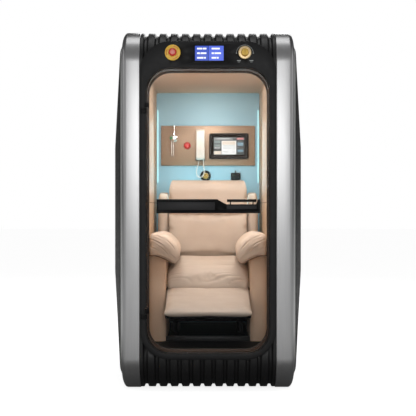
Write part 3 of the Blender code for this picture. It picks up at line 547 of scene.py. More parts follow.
def make_side_trims():
    """Rounded light beads between bands and covers."""
    low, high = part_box("side_trim_right")
    inset = low.z
    width = 0.010
    section = [(low.x, inset), (high.x - 0.003, inset), (high.x - 0.001, inset + 0.001),
               (high.x, inset + width / 2), (high.x - 0.001, inset + width - 0.001),
               (high.x - 0.003, inset + width), (low.x, inset + width)]
    for name, side in SIDES:
        loops = [side_loop(side * x, depth, BAND_SEGMENTS) for x, depth in section]
        piece("side_bead_" + name, skin(loops, closed=True), "trim", "cabin", ["side_trim_" + name],
              50.0)


PLATEAU_HALF = 0.58          # the raised middle of a side cover: half length, heights, corner
PLATEAU_HEIGHTS = (0.60, 1.36)
PLATEAU_CORNER = 0.05
LOUVRE_BANKS = (-0.26, 0.26)
LOUVRE_HALF = 0.12
LOUVRE_ROWS = 6
LOUVRE_START = 0.70
LOUVRE_PITCH = 0.022


def plateau_loop(x, grow):
    """Outline of the raised middle of a side cover, grown evenly."""
    low, high = PLATEAU_HEIGHTS
    outline = rounded_outline(-PLATEAU_HALF - grow, PLATEAU_HALF + grow, low - grow, high + grow,
                              PLATEAU_CORNER + max(grow, 0.0))
    return [Vector((x, y, z)) for y, z in outline]


def make_side_covers():
    """Dished covers with a soft shoulder, an engraved border, an inlay and louvres."""
    base, inset, plateau = COVER_LOW.x, COVER_LOW.z, COVER_HIGH.x
    rim = ((base + 0.006, 0.012), (base, 0.004), (base, 0.0), (0.4755, 0.0), (0.4785, 0.003),
           (0.4800, 0.009))
    middle = ((0.0030, 0.030), (0.0008, 0.010), (0.0, -0.004), (0.0, -0.050), (0.0022, -0.053),
              (0.0022, -0.058), (0.0, -0.061), (0.0, -0.10), (0.006, -0.10))
    for name, side in SIDES:
        loops = [side_loop(side * x, inset + draw) for x, draw in rim]
        loops += [plateau_loop(side * (plateau - sink), grow) for sink, grow in middle]
        piece("side_panel_" + name, skin(loops, closed=False), "cover", "cabin",
              ["side_cover_" + name], 24.0)
        make_side_louvres(name, side, plateau)


def make_side_louvres(name, side, plateau):
    """An inlay round the raised middle, and two banks of raised louvres low on it."""
    blade = ((-0.004, -0.006), (-0.0005, -0.006), (0.0032, -0.0045), (-0.0001, 0.006), (-0.004, 0.007))
    inlay = ((-0.0015, -0.0535), (-0.0004, -0.0540), (-0.0004, -0.0575), (-0.0015, -0.0580))
    louvres = []
    for bank in LOUVRE_BANKS:
        for row in range(LOUVRE_ROWS):
            z = LOUVRE_START + row * LOUVRE_PITCH
            louvres.append(prism_mesh([(side * (plateau + out), z + up) for out, up in blade], "Y",
                                      bank - LOUVRE_HALF, bank + LOUVRE_HALF))
    piece("side_louvres_" + name, merged(louvres), "inlay", "cabin")
    ring = [plateau_loop(side * (plateau + out), grow) for out, grow in inlay]
    piece("side_inlay_" + name, skin(ring, closed=True), "inlay", "cabin")


def rib_section(half, reach):
    """Closed section across the ribs with rounded crests, as (x, inset) pairs."""
    flank = ((RIB_SLOPE + 0.0015, RIB_DEPTH), (RIB_SLOPE, RIB_DEPTH - 0.0012), (0.0010, 0.0022),
             (-0.0006, 0.0006), (-0.0030, 0.0))
    rib = [(-RIB_CREST / 2 - out, inset) for out, inset in flank]
    rib += [(RIB_CREST / 2 + out, inset) for out, inset in reversed(flank)]
    section = []
    for index in range(-reach, reach + 1):
        for offset, inset in rib:
            if abs(index * RIB_PITCH + offset) < half - 0.0005:
                section.append((index * RIB_PITCH + offset, inset))
    section.insert(0, (-half, section[0][1]))
    section.append((half, section[-1][1]))
    return section + [(half, SHELL_THICK), (-half, SHELL_THICK)]


def shell_path(inset, front_end, rear_end):
    """Front, top and back of the ribbed skin at one inset, as (y, z) pairs."""
    path = [(ROOF_LOW.y + inset, front_end)]
    for centre_y, start in ((ROOF_LOW.y + CORNER, 180.0), (HALF_DEPTH - CORNER, 90.0)):
        for step in range(FINE + 1):
            angle = math.radians(start - 90.0 * step / FINE)
            path.append((centre_y + (CORNER - inset) * math.cos(angle),
                         HEIGHT - CORNER + (CORNER - inset) * math.sin(angle)))
    path.append((HALF_DEPTH - inset, rear_end))
    return path


def opening_outline(grow, segments=FINE):
    """The doorway's outline, grown or drawn in evenly, as (x, z) pairs."""
    return rounded_outline(-OPENING_HALF - grow, OPENING_HALF + grow, OPENING_LOW - grow,
                           OPENING_HIGH + grow, OPENING_CORNER + grow, segments)


def cut(target, name, mesh_data):
    """Cut a shape out of a piece and keep the result as its mesh."""
    tool = piece(name, mesh_data, None, None)
    tool.data.materials.append(target.data.materials[0])
    step = target.modifiers.new(name, "BOOLEAN")
    step.operation = "DIFFERENCE"
    step.solver = "EXACT"
    step.object = tool
    apply_modifiers(target)
    bpy.data.objects.remove(tool)


def make_ribbed_shells():
    """Ribbed roof and base, open where the doorway passes."""
    section = rib_section(ROOF_HIGH.x, 6)
    ends = {"roof_shell": (ROOF_LOW.z, ROOF_LOW.z, False),
            "base_shell": (HEIGHT - BASE_HIGH.z, HEIGHT - 0.25, True)}
    for node, (front_end, rear_end, flip) in ends.items():
        paths = [(x, shell_path(inset, front_end, rear_end)) for x, inset in section]
        stations = []
        for index in range(len(paths[0][1])):
            station = [(x, *path[index]) for x, path in paths]
            stations.append([Vector((x, y, HEIGHT - z if flip else z)) for x, y, z in station])
        shell = piece(node.replace("_shell", "_ribs"), skin(stations, closed=False), "shell", "cabin",
                      [node], 40.0)
        cut(shell, "doorway_tool", prism_mesh(opening_outline(REVEAL_WALL), "Y", -1.0, -0.6))
        if not flip:
            cut(shell, "header_tool", box_mesh((-0.245, -1.0, 1.762), (0.245, -0.80, 1.862), 0.0))


# ---------------------------------------------------------------- front
def ring_skin(steps):
    """A ring through (outline, y) steps, closed on itself."""
    return skin([[Vector((x, y, z)) for x, z in outline] for outline, y in steps], closed=True)


AHEAD_OF_PLATE = -0.95       # y reach of the tools that cut through the face plate
BEHIND_PLATE = -0.80
HEADER_HOLE = 0.0148


def make_fascia():
    """Face plate with eased edges and its header windows."""
    front, back = FASCIA_LOW.y, FASCIA_HIGH.y
    half = FASCIA_HIGH.x

    def outer(inset):
        return rounded_outline(-half + inset, half - inset, FASCIA_LOW.z + inset, FASCIA_HIGH.z - inset,
                               FASCIA_CORNER - inset)

    plate = piece("face_plate", ring_skin([
        (outer(0.0), back), (outer(0.0), front + 0.002),
        (outer(0.0006), front + 0.0006), (outer(0.002), front),
        (opening_outline(0.0025), front), (opening_outline(0.0008), front + 0.0008),
        (opening_outline(0.0), front + 0.0025), (opening_outline(0.0), back)]),
        "fascia", "cabin", ["front_fascia"])
    for node in ("stop_button", "control_knob"):
        hole = [(HEADER_HOLE, AHEAD_OF_PLATE), (HEADER_HOLE, BEHIND_PLATE)]
        cut(plate, "hole_tool", turned_mesh(hole, middle_of(node), "Y", 24))
    low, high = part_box("display_panel")
    cut(plate, "window_tool", box_mesh((low.x - GAP, AHEAD_OF_PLATE, low.z - GAP),
                                       (high.x + GAP, BEHIND_PLATE, high.z + GAP), 0.0))


def make_reveal():
    """Tapered bronze tunnel, its black rear seam and the door seal."""
    front, back = REVEAL_LOW.y, REVEAL_HIGH.y
    taper = -0.0054
    piece("doorway_tunnel", ring_skin([
        (opening_outline(REVEAL_WALL), front), (opening_outline(REVEAL_WALL), back),
        (opening_outline(taper), back), (opening_outline(taper), back - 0.012),
        (opening_outline(0.0), back - 0.016), (opening_outline(0.0), front)]),
        "bronze", "cabin", ["door_reveal"])
    for name, node, (root, rear_lip, crown, front_lip) in (
            ("tunnel_seal", "reveal_seam", (0.012, -0.004, -0.0085, -0.006)),
            ("door_seal", "door_gasket", (-0.0004, -0.004, -0.006, -0.0045))):
        low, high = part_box(node)
        piece(name, ring_skin([
            (opening_outline(root), low.y), (opening_outline(root), high.y),
            (opening_outline(rear_lip), high.y), (opening_outline(crown), (low.y + high.y) / 2),
            (opening_outline(front_lip), low.y)]), "rubber", "cabin", [node])


def make_pane():
    """Clear door with polished edges."""
    front, back = PANE_LOW.y, PANE_HIGH.y
    grow = PANE_HIGH.x - OPENING_HALF
    edge = 0.0015
    steps = ((edge, front), (0.0, front + edge), (0.0, back - edge), (edge, back))
    loops = [[Vector((x, y, z)) for x, z in opening_outline(grow - inset)] for inset, y in steps]
    piece("door_glazing", skin(loops, closed=False), "clear", "door", ["door_pane"])


def make_crossbar():
    """Black bar with a framed inset face, a finger notch and the slab over it."""
    low, high = BAR_LOW, BAR_HIGH
    outline = [(low.x, low.z), (high.x, low.z), (high.x, high.z), (0.2665, high.z), (0.2575, 1.0045),
               (0.098, 1.0045), (0.048, high.z), (low.x, high.z)]
    bar = piece("push_bar", prism_mesh(outline, "Y", low.y, high.y, 0.0012, 2), "bar", "door",
                ["crossbar"], 30.0)
    cut(bar, "inset_tool", box_mesh((-0.2655, AHEAD_OF_PLATE, 0.975), (0.037, low.y + 0.0018, 1.018), 0.0))
    cut(bar, "inset_tool", box_mesh((0.0985, AHEAD_OF_PLATE, 0.9795), (0.259, low.y + 0.0012, 1.0015), 0.0))
    inset = box_mesh((-0.2645, low.y + 0.0004, 0.976), (0.036, low.y + 0.0022, 1.017), 0.0006)
    piece("bar_inset_left", inset, "bar_face", "door")
    inset = box_mesh((0.0995, low.y + 0.0002, 0.9805), (0.258, low.y + 0.0016, 1.0005), 0.0004)
    piece("bar_inset_right", inset, "bar_face", "door")
    middle = (low.y + high.y) / 2
    slab_low, slab_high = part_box("latch_paddle")
    slab = piece("release_slab", box_mesh(slab_low, slab_high, 0.0018, 3), "bar", "paddle",
                 ["latch_paddle"])
    posts = []
    for x in (0.120, 0.240):
        posts.append(turned_mesh([(0.003, 1.002), (0.003, slab_low.z + 0.002)], (x, middle), "Z", 16))
        cut(slab, "bore_tool", turned_mesh([(0.0036, slab_low.z - 0.002), (0.0036, slab_high.z - 0.002)],
                                           (x, middle), "Z", 16))
    piece("bar_posts", merged(posts), "steel", "door")


def make_inside_grip():
    """Rounded grip on two stands behind the pane."""
    low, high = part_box("inside_grip")
    centre_z = (low.z + high.z) / 2
    grip = rounded_outline(-0.840, -0.826, low.z, high.z, 0.0065, 6)
    parts = [prism_mesh(grip, "X", low.x, high.x, 0.002)]
    for x in (-0.20, 0.20):
        stand = [(0.010, low.y), (0.010, low.y + 0.002), (0.007, low.y + 0.004), (0.007, -0.833)]
        parts.append(turned_mesh(stand, (x, centre_z), "Y", 24))
    piece("grip_inside", merged(parts), "bar", "door", ["inside_grip"])


def hinge_half(low, high, plate, web):
    """One half of a hinge: a plate on its face, the web, the barrel and two screws."""
    back = high.y
    x, y = DOOR_AXIS
    barrel = [(0.0055, low.z), (0.0065, low.z + 0.001), (0.0065, high.z - 0.001), (0.0055, high.z)]
    parts = [box_mesh((plate[0], back - 0.0035, low.z), (plate[1], back, high.z), 0.0008),
             box_mesh((web[0], y + 0.0005, low.z), (web[1], back - 0.0012, high.z), 0.0004),
             turned_mesh(barrel, (x, y), "Z", 24)]
    for height in (low.z + 0.008, high.z - 0.008):
        parts.append(screw_mesh(((plate[0] + plate[1]) / 2, back - 0.0036, height), 0.0025))
    return merged(parts)


def make_hinges():
    """Small black lift-off hinges with countersunk screws."""
    x = DOOR_AXIS[0]
    for level in ("lower", "upper"):
        low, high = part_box("hinge_block_" + level)
        leaf_low, leaf_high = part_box("hinge_leaf_" + level)
        high.z = leaf_low.z - 0.002
        block = hinge_half(low, high, (low.x, x - 0.004), (x - 0.005, x + 0.001))
        piece("door_hinge_block_" + level, block, "bar", "cabin", ["hinge_block_" + level])
        leaf = hinge_half(leaf_low, leaf_high, (x + 0.006, leaf_high.x), (x - 0.001, x + 0.007))
        piece("door_hinge_leaf_" + level, leaf, "bar", "door", ["hinge_leaf_" + level])


def arc_points(centre, radius, start, end, y, steps=24):
    """Points on an arc in the face plate's plane, with angles in degrees from +X."""
    points = []
    for step in range(steps + 1):
        angle = math.radians(start + (end - start) * step / steps)
        points.append(Vector((centre[0] + radius * math.cos(angle), y,
                              centre[1] + radius * math.sin(angle))))
    return points


def make_stop():
    """Emergency stop: yellow collar with engraved ring, red mushroom with a lighter pink cap that is a
    painted highlight.
    """
    low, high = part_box("stop_collar")
    centre = middle_of("stop_collar")
    back, front = high.y, low.y
    ring = [(0.042, back), (0.042, front + 0.003), (0.0405, front + 0.001), (0.038, front),
            (0.031, front), (0.0300, front + 0.0008), (0.0290, front), (0.0245, front),
            (0.0225, front + 0.0015), (0.0145, front + 0.0015), (0.0145, back)]
    piece("stop_ring", turned_mesh(ring, centre, closed=True), "yellow", "cabin", ["stop_collar"])
    marks = []
    for start in (30, 150, 270):
        arc = arc_points(centre, 0.0345, start, start + 55, front - 0.0002, 10)
        marks.append(tube_mesh(arc, 0.0011, 6))
    piece("stop_marks", merged(marks), "red", "cabin")
    mushroom = [(0.013, -0.862), (0.013, -0.8925), (0.0175, -0.893), (0.0200, -0.895), (0.0212, -0.899),
                (0.0205, -0.903), (0.0180, -0.907), (0.0140, -0.9092)]
    piece("stop_mushroom", turned_mesh(mushroom, centre), "red", "stop", ["stop_button"])
    # the pink cap paints the highlight on the mushroom's front
    cap = [(0.0138, -0.9088), (0.0135, -0.9098), (0.0100, -0.9110), (0.0050, -0.9116)]
    piece("stop_cap", turned_mesh(cap, centre, sides=32), "pink", "stop")


KNOB_SCALE_RADIUS = 0.0450
KNOB_SCALE_DROP = 0.0045      # how far the arc's centre lies below the knob's
KNOB_MARKS = (-0.032, 0.035)  # plain bars under the scale, either side of the knob


def make_knob():
    """Brass knob with a bar grip, and its scale on the face plate."""
    centre = middle_of("control_knob")
    disc = [(0.008, -0.862), (0.008, -0.8806), (0.0345, -0.8806), (0.0350, -0.882), (0.0350, -0.886),
            (0.0335, -0.8885), (0.031, -0.8895), (0.0245, -0.8900), (0.0225, -0.8885), (0.0215, -0.8885)]
    piece("knob_disc", turned_mesh(disc, centre), "gold", "knob", ["control_knob"])
    hub = [(0.0212, -0.8870), (0.0206, -0.8960), (0.0190, -0.9030), (0.0165, -0.9050), (0.0120, -0.9052)]
    piece("knob_hub", turned_mesh(hub, centre), "amber", "knob")
    grip = box_mesh((centre[0] - 0.0050, -0.9108, centre[1] - 0.0180),
                    (centre[0] + 0.0050, -0.8960, centre[1] + 0.0180), 0.0022, 3)
    piece("knob_bar", grip, "amber", "knob")
    face = FASCIA_LOW.y - 0.0003
    arc = arc_points((centre[0], centre[1] - KNOB_SCALE_DROP), KNOB_SCALE_RADIUS, 4, 176, face)
    scale = [tube_mesh(arc, 0.0011, 6)]
    for tip in (arc[0], arc[-1]):
        scale.append(box_mesh((tip.x - 0.0024, face - 0.0006, tip.z - 0.0040),
                              (tip.x + 0.0024, face + 0.0003, tip.z + 0.0012), 0.0002))
    for offset in KNOB_MARKS:
        x = centre[0] + offset
        for half_width, below, tall in ((0.0100, 0.0450, 0.0045), (0.0060, 0.0512, 0.0022)):
            z = centre[1] - below
            scale.append(box_mesh((x - half_width, face - 0.0006, z),
                                  (x + half_width, face + 0.0003, z + tall), 0.0002))
    piece("knob_scale", merged(scale), "mark", "cabin")


def make_display():
    """Header display: bezel, two blue fields and plain bars in place of text."""
    low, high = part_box("display_panel")
    front = low.y
    middle = low.x + (high.x - low.x) * 0.47
    piece("display_body", box_mesh((low.x, front + 0.0004, low.z), (high.x, high.y, high.z), 0.0008),
          "rubber", "cabin", ["display_panel"])
    edge, gap = 0.0015, 0.001
    for name, finish, start, end in (("left", "lcd_deep", low.x + edge, middle - gap),
                                     ("right", "lcd_blue", middle + gap, high.x - edge)):
        field = box_mesh((start, front, low.z + edge), (end, front + 0.001, high.z - edge), 0.0003)
        piece("display_" + name, field, finish, "cabin")
    bars = []
    rows = (0.80, 0.50, 0.20)
    spans = (((0.08, 0.26), (0.28, 0.40)), ((0.08, 0.18), (0.20, 0.40)), ((0.08, 0.30), (0.32, 0.38)),
             ((0.58, 0.86),), ((0.58, 0.66), (0.68, 0.90)), ((0.58, 0.74), (0.76, 0.82)))
    width, height = high.x - low.x, high.z - low.z
    for index, row_spans in enumerate(spans):
        z = low.z + height * rows[index % 3]
        for start, end in row_spans:
            bars.append(box_mesh((low.x + width * start, front - 0.0003, z - 0.0042),
                                 (low.x + width * end, front + 0.0003, z + 0.0042), 0.0002))
    piece("display_bars", merged(bars), "lcd_white", "cabin")


# ---------------------------------------------------------------- cabin lining
def make_lining():
    """Cove strips and joint lines on the side walls. The walls themselves are the CAD nodes."""
    for name, side in SIDES:
        face = side * LINER_LOW.x
        joints = [wall_strip(face, side, LINER_LOW.y + 0.002, 0.620, z - 0.0022, z + 0.0022)
                  for z in (1.668, 1.02)]
        piece("wall_joints_" + name, merged(joints), "joint", "cabin")
        piece("wall_cove_" + name, cove_mesh(face, side), "liner", "cabin")


def wall_strip(face, side, near, far, low_z, high_z):
    """A thin dark joint line set on a side wall."""
    inner = face - side * 0.0006
    outer = face + side * 0.0006
    return box_mesh((min(inner, outer), near, low_z), (max(inner, outer), far, high_z), 0.0002)


def cove_mesh(face, side):
    """A quarter-round cove between a side wall and the ceiling."""
    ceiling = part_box("ceiling_liner")[0].z
    reach = 0.012
    outline = [(face - side * 0.0004, ceiling - 0.0004)]
    for step in range(9):
        angle = math.radians(90.0 * step / 8)
        outline.append((face - side * (0.0004 + reach * (1 - math.sin(angle))),
                        ceiling - 0.0004 - reach * (1 - math.cos(angle))))
    return prism_mesh(outline, "Y", LINER_LOW.y + 0.001, 0.6245)


def make_board():
    """Bronze board with eased edges and four corner screws."""
    piece("wall_board", box_mesh(BOARD_LOW, BOARD_HIGH, 0.0025, 3), "board", "cabin",
          ["instrument_board"])
    screws = [screw_mesh((x, BOARD_LOW.y, z), 0.0035)
              for x in (BOARD_LOW.x + 0.014, BOARD_HIGH.x - 0.014)
              for z in (BOARD_LOW.z + 0.014, BOARD_HIGH.z - 0.014)]
    piece("board_screws", merged(screws), "board", "cabin")


# (name, finish, how far it stands off the glass, tiles as left, right, bottom and top)
PAGE = (
    ("grey", "ui_grey", 0.00025, ((0.01, 0.63, 0.86, 0.97), (0.02, 0.22, 0.36, 0.46))),
    ("dark", "ui_dark", 0.0005, ((0.05, 0.10, 0.89, 0.94), (0.56, 0.61, 0.89, 0.94))),
    ("teal", "ui_teal", 0.00025, ((0.02, 0.22, 0.66, 0.82), (0.02, 0.22, 0.48, 0.60))),
    ("cream", "ui_cream", 0.0004, ((0.01, 0.25, 0.03, 0.22), (0.28, 0.72, 0.58, 0.78))),
    ("white", "ui_white", 0.00025, ((0.26, 0.74, 0.03, 0.80), (0.12, 0.54, 0.90, 0.93))),
    ("red", "ui_red", 0.00025, ((0.76, 0.98, 0.87, 0.97),)),
    ("blue", "ui_blue", 0.00025, ((0.78, 0.97, 0.52, 0.70), (0.78, 0.97, 0.18, 0.30))),
    ("lines", "ui_grey", 0.0005, ((0.30, 0.70, 0.50, 0.525), (0.30, 0.70, 0.38, 0.405),
                                  (0.30, 0.48, 0.16, 0.185), (0.60, 0.70, 0.16, 0.185))),
)


def make_screen():
    """Wall screen: rounded housing, recessed glass and a plain page of tiles."""
    low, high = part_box("tablet_housing")
    loops = []
    for inset, y in ((0.0, high.y), (0.0, low.y + 0.004), (0.0012, low.y + 0.001), (0.0040, low.y)):
        outline = rounded_outline(low.x + inset, high.x - inset, low.z + inset, high.z - inset,
                                  0.013 - inset / 2, 8)
        loops.append([Vector((x, y, z)) for x, z in outline])
    housing = piece("screen_housing", skin(loops, closed=False), "tablet", "cabin", ["tablet_housing"])
    cut(housing, "pocket_tool", box_mesh((SCREEN_LOW.x, 0.55, SCREEN_LOW.z),
                                         (SCREEN_HIGH.x, low.y + 0.0012, SCREEN_HIGH.z), 0.0))
    glass = low.y + 0.0008
    pane = box_mesh((SCREEN_LOW.x + GAP, glass, SCREEN_LOW.z + GAP),
                    (SCREEN_HIGH.x - GAP, glass + 0.001, SCREEN_HIGH.z - GAP), 0.0002)
    piece("screen_glass", pane, "ui_dark", "cabin", ["tablet_screen"])
    for name, finish, lift, tiles in PAGE:
        piece("page_" + name, merged([tile_mesh(tile, glass, lift) for tile in tiles]), finish, "cabin")


def tile_mesh(tile, glass, lift):
    """One flat tile of the page, raised off the glass; its place is given in shares of the page."""
    start, end, bottom, top = tile
    width, height = SCREEN_HIGH.x - SCREEN_LOW.x, SCREEN_HIGH.z - SCREEN_LOW.z
    return box_mesh((SCREEN_LOW.x + width * start, glass - lift, SCREEN_LOW.z + height * bottom),
                    (SCREEN_LOW.x + width * end, glass + 0.0002, SCREEN_LOW.z + height * top),
                    0.00008, 1)


HANDSET_OUTLINE = [(0.587, 1.5200), (0.587, 1.4720), (0.578, 1.4580), (0.578, 1.3790), (0.587, 1.3650),
                   (0.587, 1.3170), (0.582, 1.3150), (0.560, 1.3150), (0.549, 1.3250), (0.545, 1.3600),
                   (0.545, 1.4770), (0.549, 1.5120), (0.560, 1.5220), (0.582, 1.5220)]


def make_telephone():
    """Handset with rounded ends and a centre ridge, its cradle, and the looped cord."""
    low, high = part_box("handset")
    handset = piece("phone_handset", prism_mesh(HANDSET_OUTLINE, "X", low.x + 0.004, high.x - 0.004),
                    "white", None, ["handset"])
    bevel = handset.modifiers.new("round", "BEVEL")
    bevel.width = 0.006
    bevel.segments = 4
    bevel.limit_method = "ANGLE"
    bevel.angle_limit = math.radians(40)
    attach(handset, "receiver")
    centre_x = (low.x + high.x) / 2
    piece("phone_ridge", box_mesh((centre_x - 0.004, low.y - 0.0008, low.z + 0.045),
                                  (centre_x + 0.004, low.y + 0.002, high.z - 0.045), 0.0012, 3),
          "white", "receiver")
    # black rubber lip under the cradle; its black also paints the shadow under the handset
    lip = rounded_outline(-0.085, -0.019, 1.3125, 1.3255, 0.005, 5)
    piece("phone_lip", prism_mesh(lip, "Y", 0.5880, 0.6105, 0.001), "rubber", "cabin")
    low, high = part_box("handset_cradle")
    piece("phone_cradle", box_mesh((low.x, low.y, 1.330), (high.x, high.y, high.z), 0.004, 4), "white",
          "cabin", ["handset_cradle"])
    make_cord()


CORD_RADIUS = 0.0025
CORD_ROUTE = [(-0.0620, 0.6000, 1.3152), (-0.0630, 0.5995, 1.3020), (-0.0680, 0.5975, 1.2800),
              (-0.0755, 0.5945, 1.2570), (-0.0790, 0.5915, 1.2360), (-0.0765, 0.5885, 1.2160),
              (-0.0680, 0.5860, 1.2020), (-0.0540, 0.5840, 1.1965), (-0.0400, 0.5820, 1.2010),
              (-0.0300, 0.5800, 1.2150), (-0.0262, 0.5775, 1.2360), (-0.0275, 0.5750, 1.2580),
              (-0.0300, 0.5725, 1.2800), (-0.0310, 0.5705, 1.3010), (-0.0310, 0.5700, 1.3147)]


def make_cord():
    """The handset's short cord: from the cradle down in a loop and back up to the handset."""
    path = smooth_route(CORD_ROUTE, 6)
    cord = piece("phone_cord", tube_mesh(path, CORD_RADIUS, 16), "cord", None, ["handset_cord"])
    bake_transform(cord)
    gland = turned_mesh([(0.0046, 1.330), (0.0044, 1.322), (0.0032, 1.3155)], (-0.062, 0.600), "Z", 16)
    piece("cord_gland", gland, "white", "cabin")
    boot = turned_mesh([(0.0044, 1.3200), (0.0042, 1.3145), (0.0031, 1.3080)], (-0.031, 0.570), "Z", 16)
    piece("cord_boot", boot, "white", "receiver")


def make_call_button():
    """Red call button in its red ring."""
    low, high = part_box("call_button_ring")
    centre = middle_of("call_button_ring")
    ring = [(0.024, high.y), (0.024, low.y + 0.003), (0.0232, low.y + 0.001), (0.0220, low.y),
            (0.0200, low.y + 0.0006), (0.0192, low.y + 0.002), (0.0192, high.y)]
    piece("call_ring", turned_mesh(ring, centre, closed=True), "red", "cabin", ["call_button_ring"])
    cap = [(0.0186, 0.604), (0.0186, 0.5950), (0.0178, 0.5925), (0.0150, 0.5905), (0.0090, 0.5897)]
    piece("call_cap", turned_mesh(cap, centre), "red", "call", ["call_button"])


VALVE_FLUTES = 12
FLUTE_DEPTH = 0.05           # share of the knob's radius
FLUTE_STEPS = 4


def make_valve():
    """Chrome valve: domed body, collars on its pipes, and a fluted green knob."""
    low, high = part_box("valve_body")
    centre = Vector((-0.232, 0.592, 1.465))
    pipe = (centre.x, centre.y)
    dome = [(0.026, high.y), (0.026, 0.588), (0.0250, 0.5845), (0.0215, 0.5815), (0.0160, 0.5800),
            (0.0155, 0.5785), (0.0105, 0.5775)]
    nut = [(0.0072, 1.4880), (0.0080, 1.4895), (0.0080, 1.4965), (0.0072, 1.4980)]
    parts = [turned_mesh(dome, (centre.x, centre.z)),
             turned_mesh([(0.0045, centre.z + 0.012), (0.0045, high.z - 0.001)], pipe, "Z", 20),
             turned_mesh(nut, pipe, "Z", 6),
             turned_mesh([(0.0066, high.z - 0.008), (0.0066, high.z)], pipe, "Z", 20)]
    for x in (-0.2495, -0.2375):
        spout = [(0.0055, low.z + 0.016), (0.0055, low.z + 0.006), (0.0043, low.z)]
        parts.append(turned_mesh([(0.0040, centre.z - 0.010), (0.0040, low.z)], (x, centre.y), "Z", 20))
        parts.append(turned_mesh(spout, (x, centre.y), "Z", 20))
    boss = [(0.0070, 0.592), (0.0070, 0.5755), (0.0060, 0.5742)]
    parts.append(turned_mesh(boss, (-0.252, 1.465), "Y", 24))
    piece("gas_valve", merged(parts), "chrome", "cabin", ["valve_body"])
    piece("valve_handwheel", fluted_knob(middle_of("valve_knob")), "green", "valve", ["valve_knob"])


def fluted_knob(centre):
    """The valve's small round knob with a fluted grip."""
    profile = ((0.0100, 0.5735), (0.0105, 0.5725), (0.0105, 0.5625), (0.0098, 0.5608), (0.0070, 0.5602))
    sides = VALVE_FLUTES * FLUTE_STEPS
    loops = []
    for radius, y in profile:
        loop = []
        for side in range(sides):
            angle = 2 * math.pi * side / sides
            reach = radius * (1.0 - FLUTE_DEPTH * (1 - math.cos(VALVE_FLUTES * angle)) / 2)
            loop.append(Vector((centre[0] + reach * math.cos(angle), y,
                                centre[1] + reach * math.sin(angle))))
        loops.append(loop)
    return skin(loops, closed=False)


def make_wall_fittings():
    """Air port with a brass nozzle, and the small black box with its stub."""
    centre = middle_of("air_port")
    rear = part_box("back_wall")[0].y - GAP
    flange = [(0.037, rear), (0.037, 0.609), (0.0362, 0.6065), (0.034, 0.6045), (0.030, 0.6035),
              (0.0240, 0.6040), (0.0222, 0.6055), (0.0215, 0.6090), (0.0215, rear)]
    piece("port_flange", turned_mesh(flange, centre, closed=True), "rubber", "cabin", ["air_port"])
    nozzle = [(0.0205, 0.6240), (0.0205, 0.6085), (0.0190, 0.6065), (0.0150, 0.6060), (0.0125, 0.6080),
              (0.0100, 0.6150), (0.0060, 0.6180)]
    piece("port_nozzle", turned_mesh(nozzle, centre), "port_brass", "cabin")
    low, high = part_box("intercom_box")
    top = 1.227
    stub = [(0.0060, top - 0.002), (0.0060, top + 0.003), (0.0042, top + 0.005), (0.0036, high.z - 0.001),
            (0.0022, high.z)]
    parts = [box_mesh((low.x, low.y, low.z), (high.x, high.y, top), 0.005, 4),
             turned_mesh(stub, (0.190, 0.603), "Z", 20)]
    piece("call_box", merged(parts), "bar", "cabin", ["intercom_box"])
    lens = turned_mesh([(0.0030, low.y + 0.001), (0.0030, low.y - 0.0006), (0.0020, low.y - 0.0012)],
                       (0.178, 1.212), "Y", 16)
    piece("call_box_lamp", lens, "green", "cabin")


# ---------------------------------------------------------------- recliner
SOFT_PIECES = []
SIM_FRAMES = 20


def voxel_form(obj, size):
    """Remesh a closed form evenly, so that it can swell."""
    step = obj.modifiers.new("even", "REMESH")
    step.mode = "VOXEL"
    step.voxel_size = size
    step.use_smooth_shade = True
    apply_modifiers(obj)


def swell_later(obj, pressure, cap, limits):
    """Queue a cushion for the shared cloth run: how hard it swells, how far, and its box."""
    SOFT_PIECES.append((obj, pressure, cap, limits))


def add_cloth(obj, pressure):
    """Cloth that holds air and ignores gravity."""
    cloth = obj.modifiers.new("cloth", "CLOTH")
    settings = cloth.settings
    settings.quality = 4
    settings.mass = 0.3
    settings.tension_stiffness = 12.0
    settings.compression_stiffness = 12.0
    settings.shear_stiffness = 6.0
    settings.bending_stiffness = 0.6
    settings.use_pressure = True
    settings.uniform_pressure_force = pressure
    settings.effector_weights.gravity = 0.0
    cloth.point_cache.frame_start = 1
    cloth.point_cache.frame_end = SIM_FRAMES


def run_cloth():
    """Swell every queued cushion together, with no point moving further than its cap."""
    rest = {obj.name: [vertex.co.copy() for vertex in obj.data.vertices] for obj, *_ in SOFT_PIECES}
    for obj, pressure, _, _ in SOFT_PIECES:
        add_cloth(obj, pressure)
    for step in range(1, SIM_FRAMES + 1):
        SCENE.frame_set(step)
    graph = bpy.context.evaluated_depsgraph_get()
    for obj, _, cap, _ in SOFT_PIECES:
        moved = [vertex.co.copy() for vertex in obj.evaluated_get(graph).data.vertices]
        for vertex, start, end in zip(obj.data.vertices, rest[obj.name], moved):
            shift = end - start
            if shift.length > cap:
                shift *= cap / shift.length
            vertex.co = start + shift
        obj.modifiers.clear()
    SCENE.frame_set(1)


PRESSED = {"seat_pad": 0.026, "back_pad": 0.012, "head_pad": 0.008}     # squeezed flat at each side


def fit_to_limits():
    """Relax each swollen cushion and stretch it a little, so that it just fills its own space."""
    for obj, _, _, (low, high) in SOFT_PIECES:
        relax(obj, 3)
        squeeze = Vector((PRESSED.get(obj.name, 0.0), 0.0, 0.0))
        places = [vertex.co for vertex in obj.data.vertices]
        least = Vector([min(place[axis] for place in places) for axis in range(3)])
        most = Vector([max(place[axis] for place in places) for axis in range(3)])
        for place in places:
            for axis in range(3):
                share = (place[axis] - least[axis]) / (most[axis] - least[axis])
                wide_low, wide_high = low[axis] - squeeze[axis], high[axis] + squeeze[axis]
                place[axis] = min(max(wide_low + (wide_high - wide_low) * share, low[axis]), high[axis])
        obj.data.update()


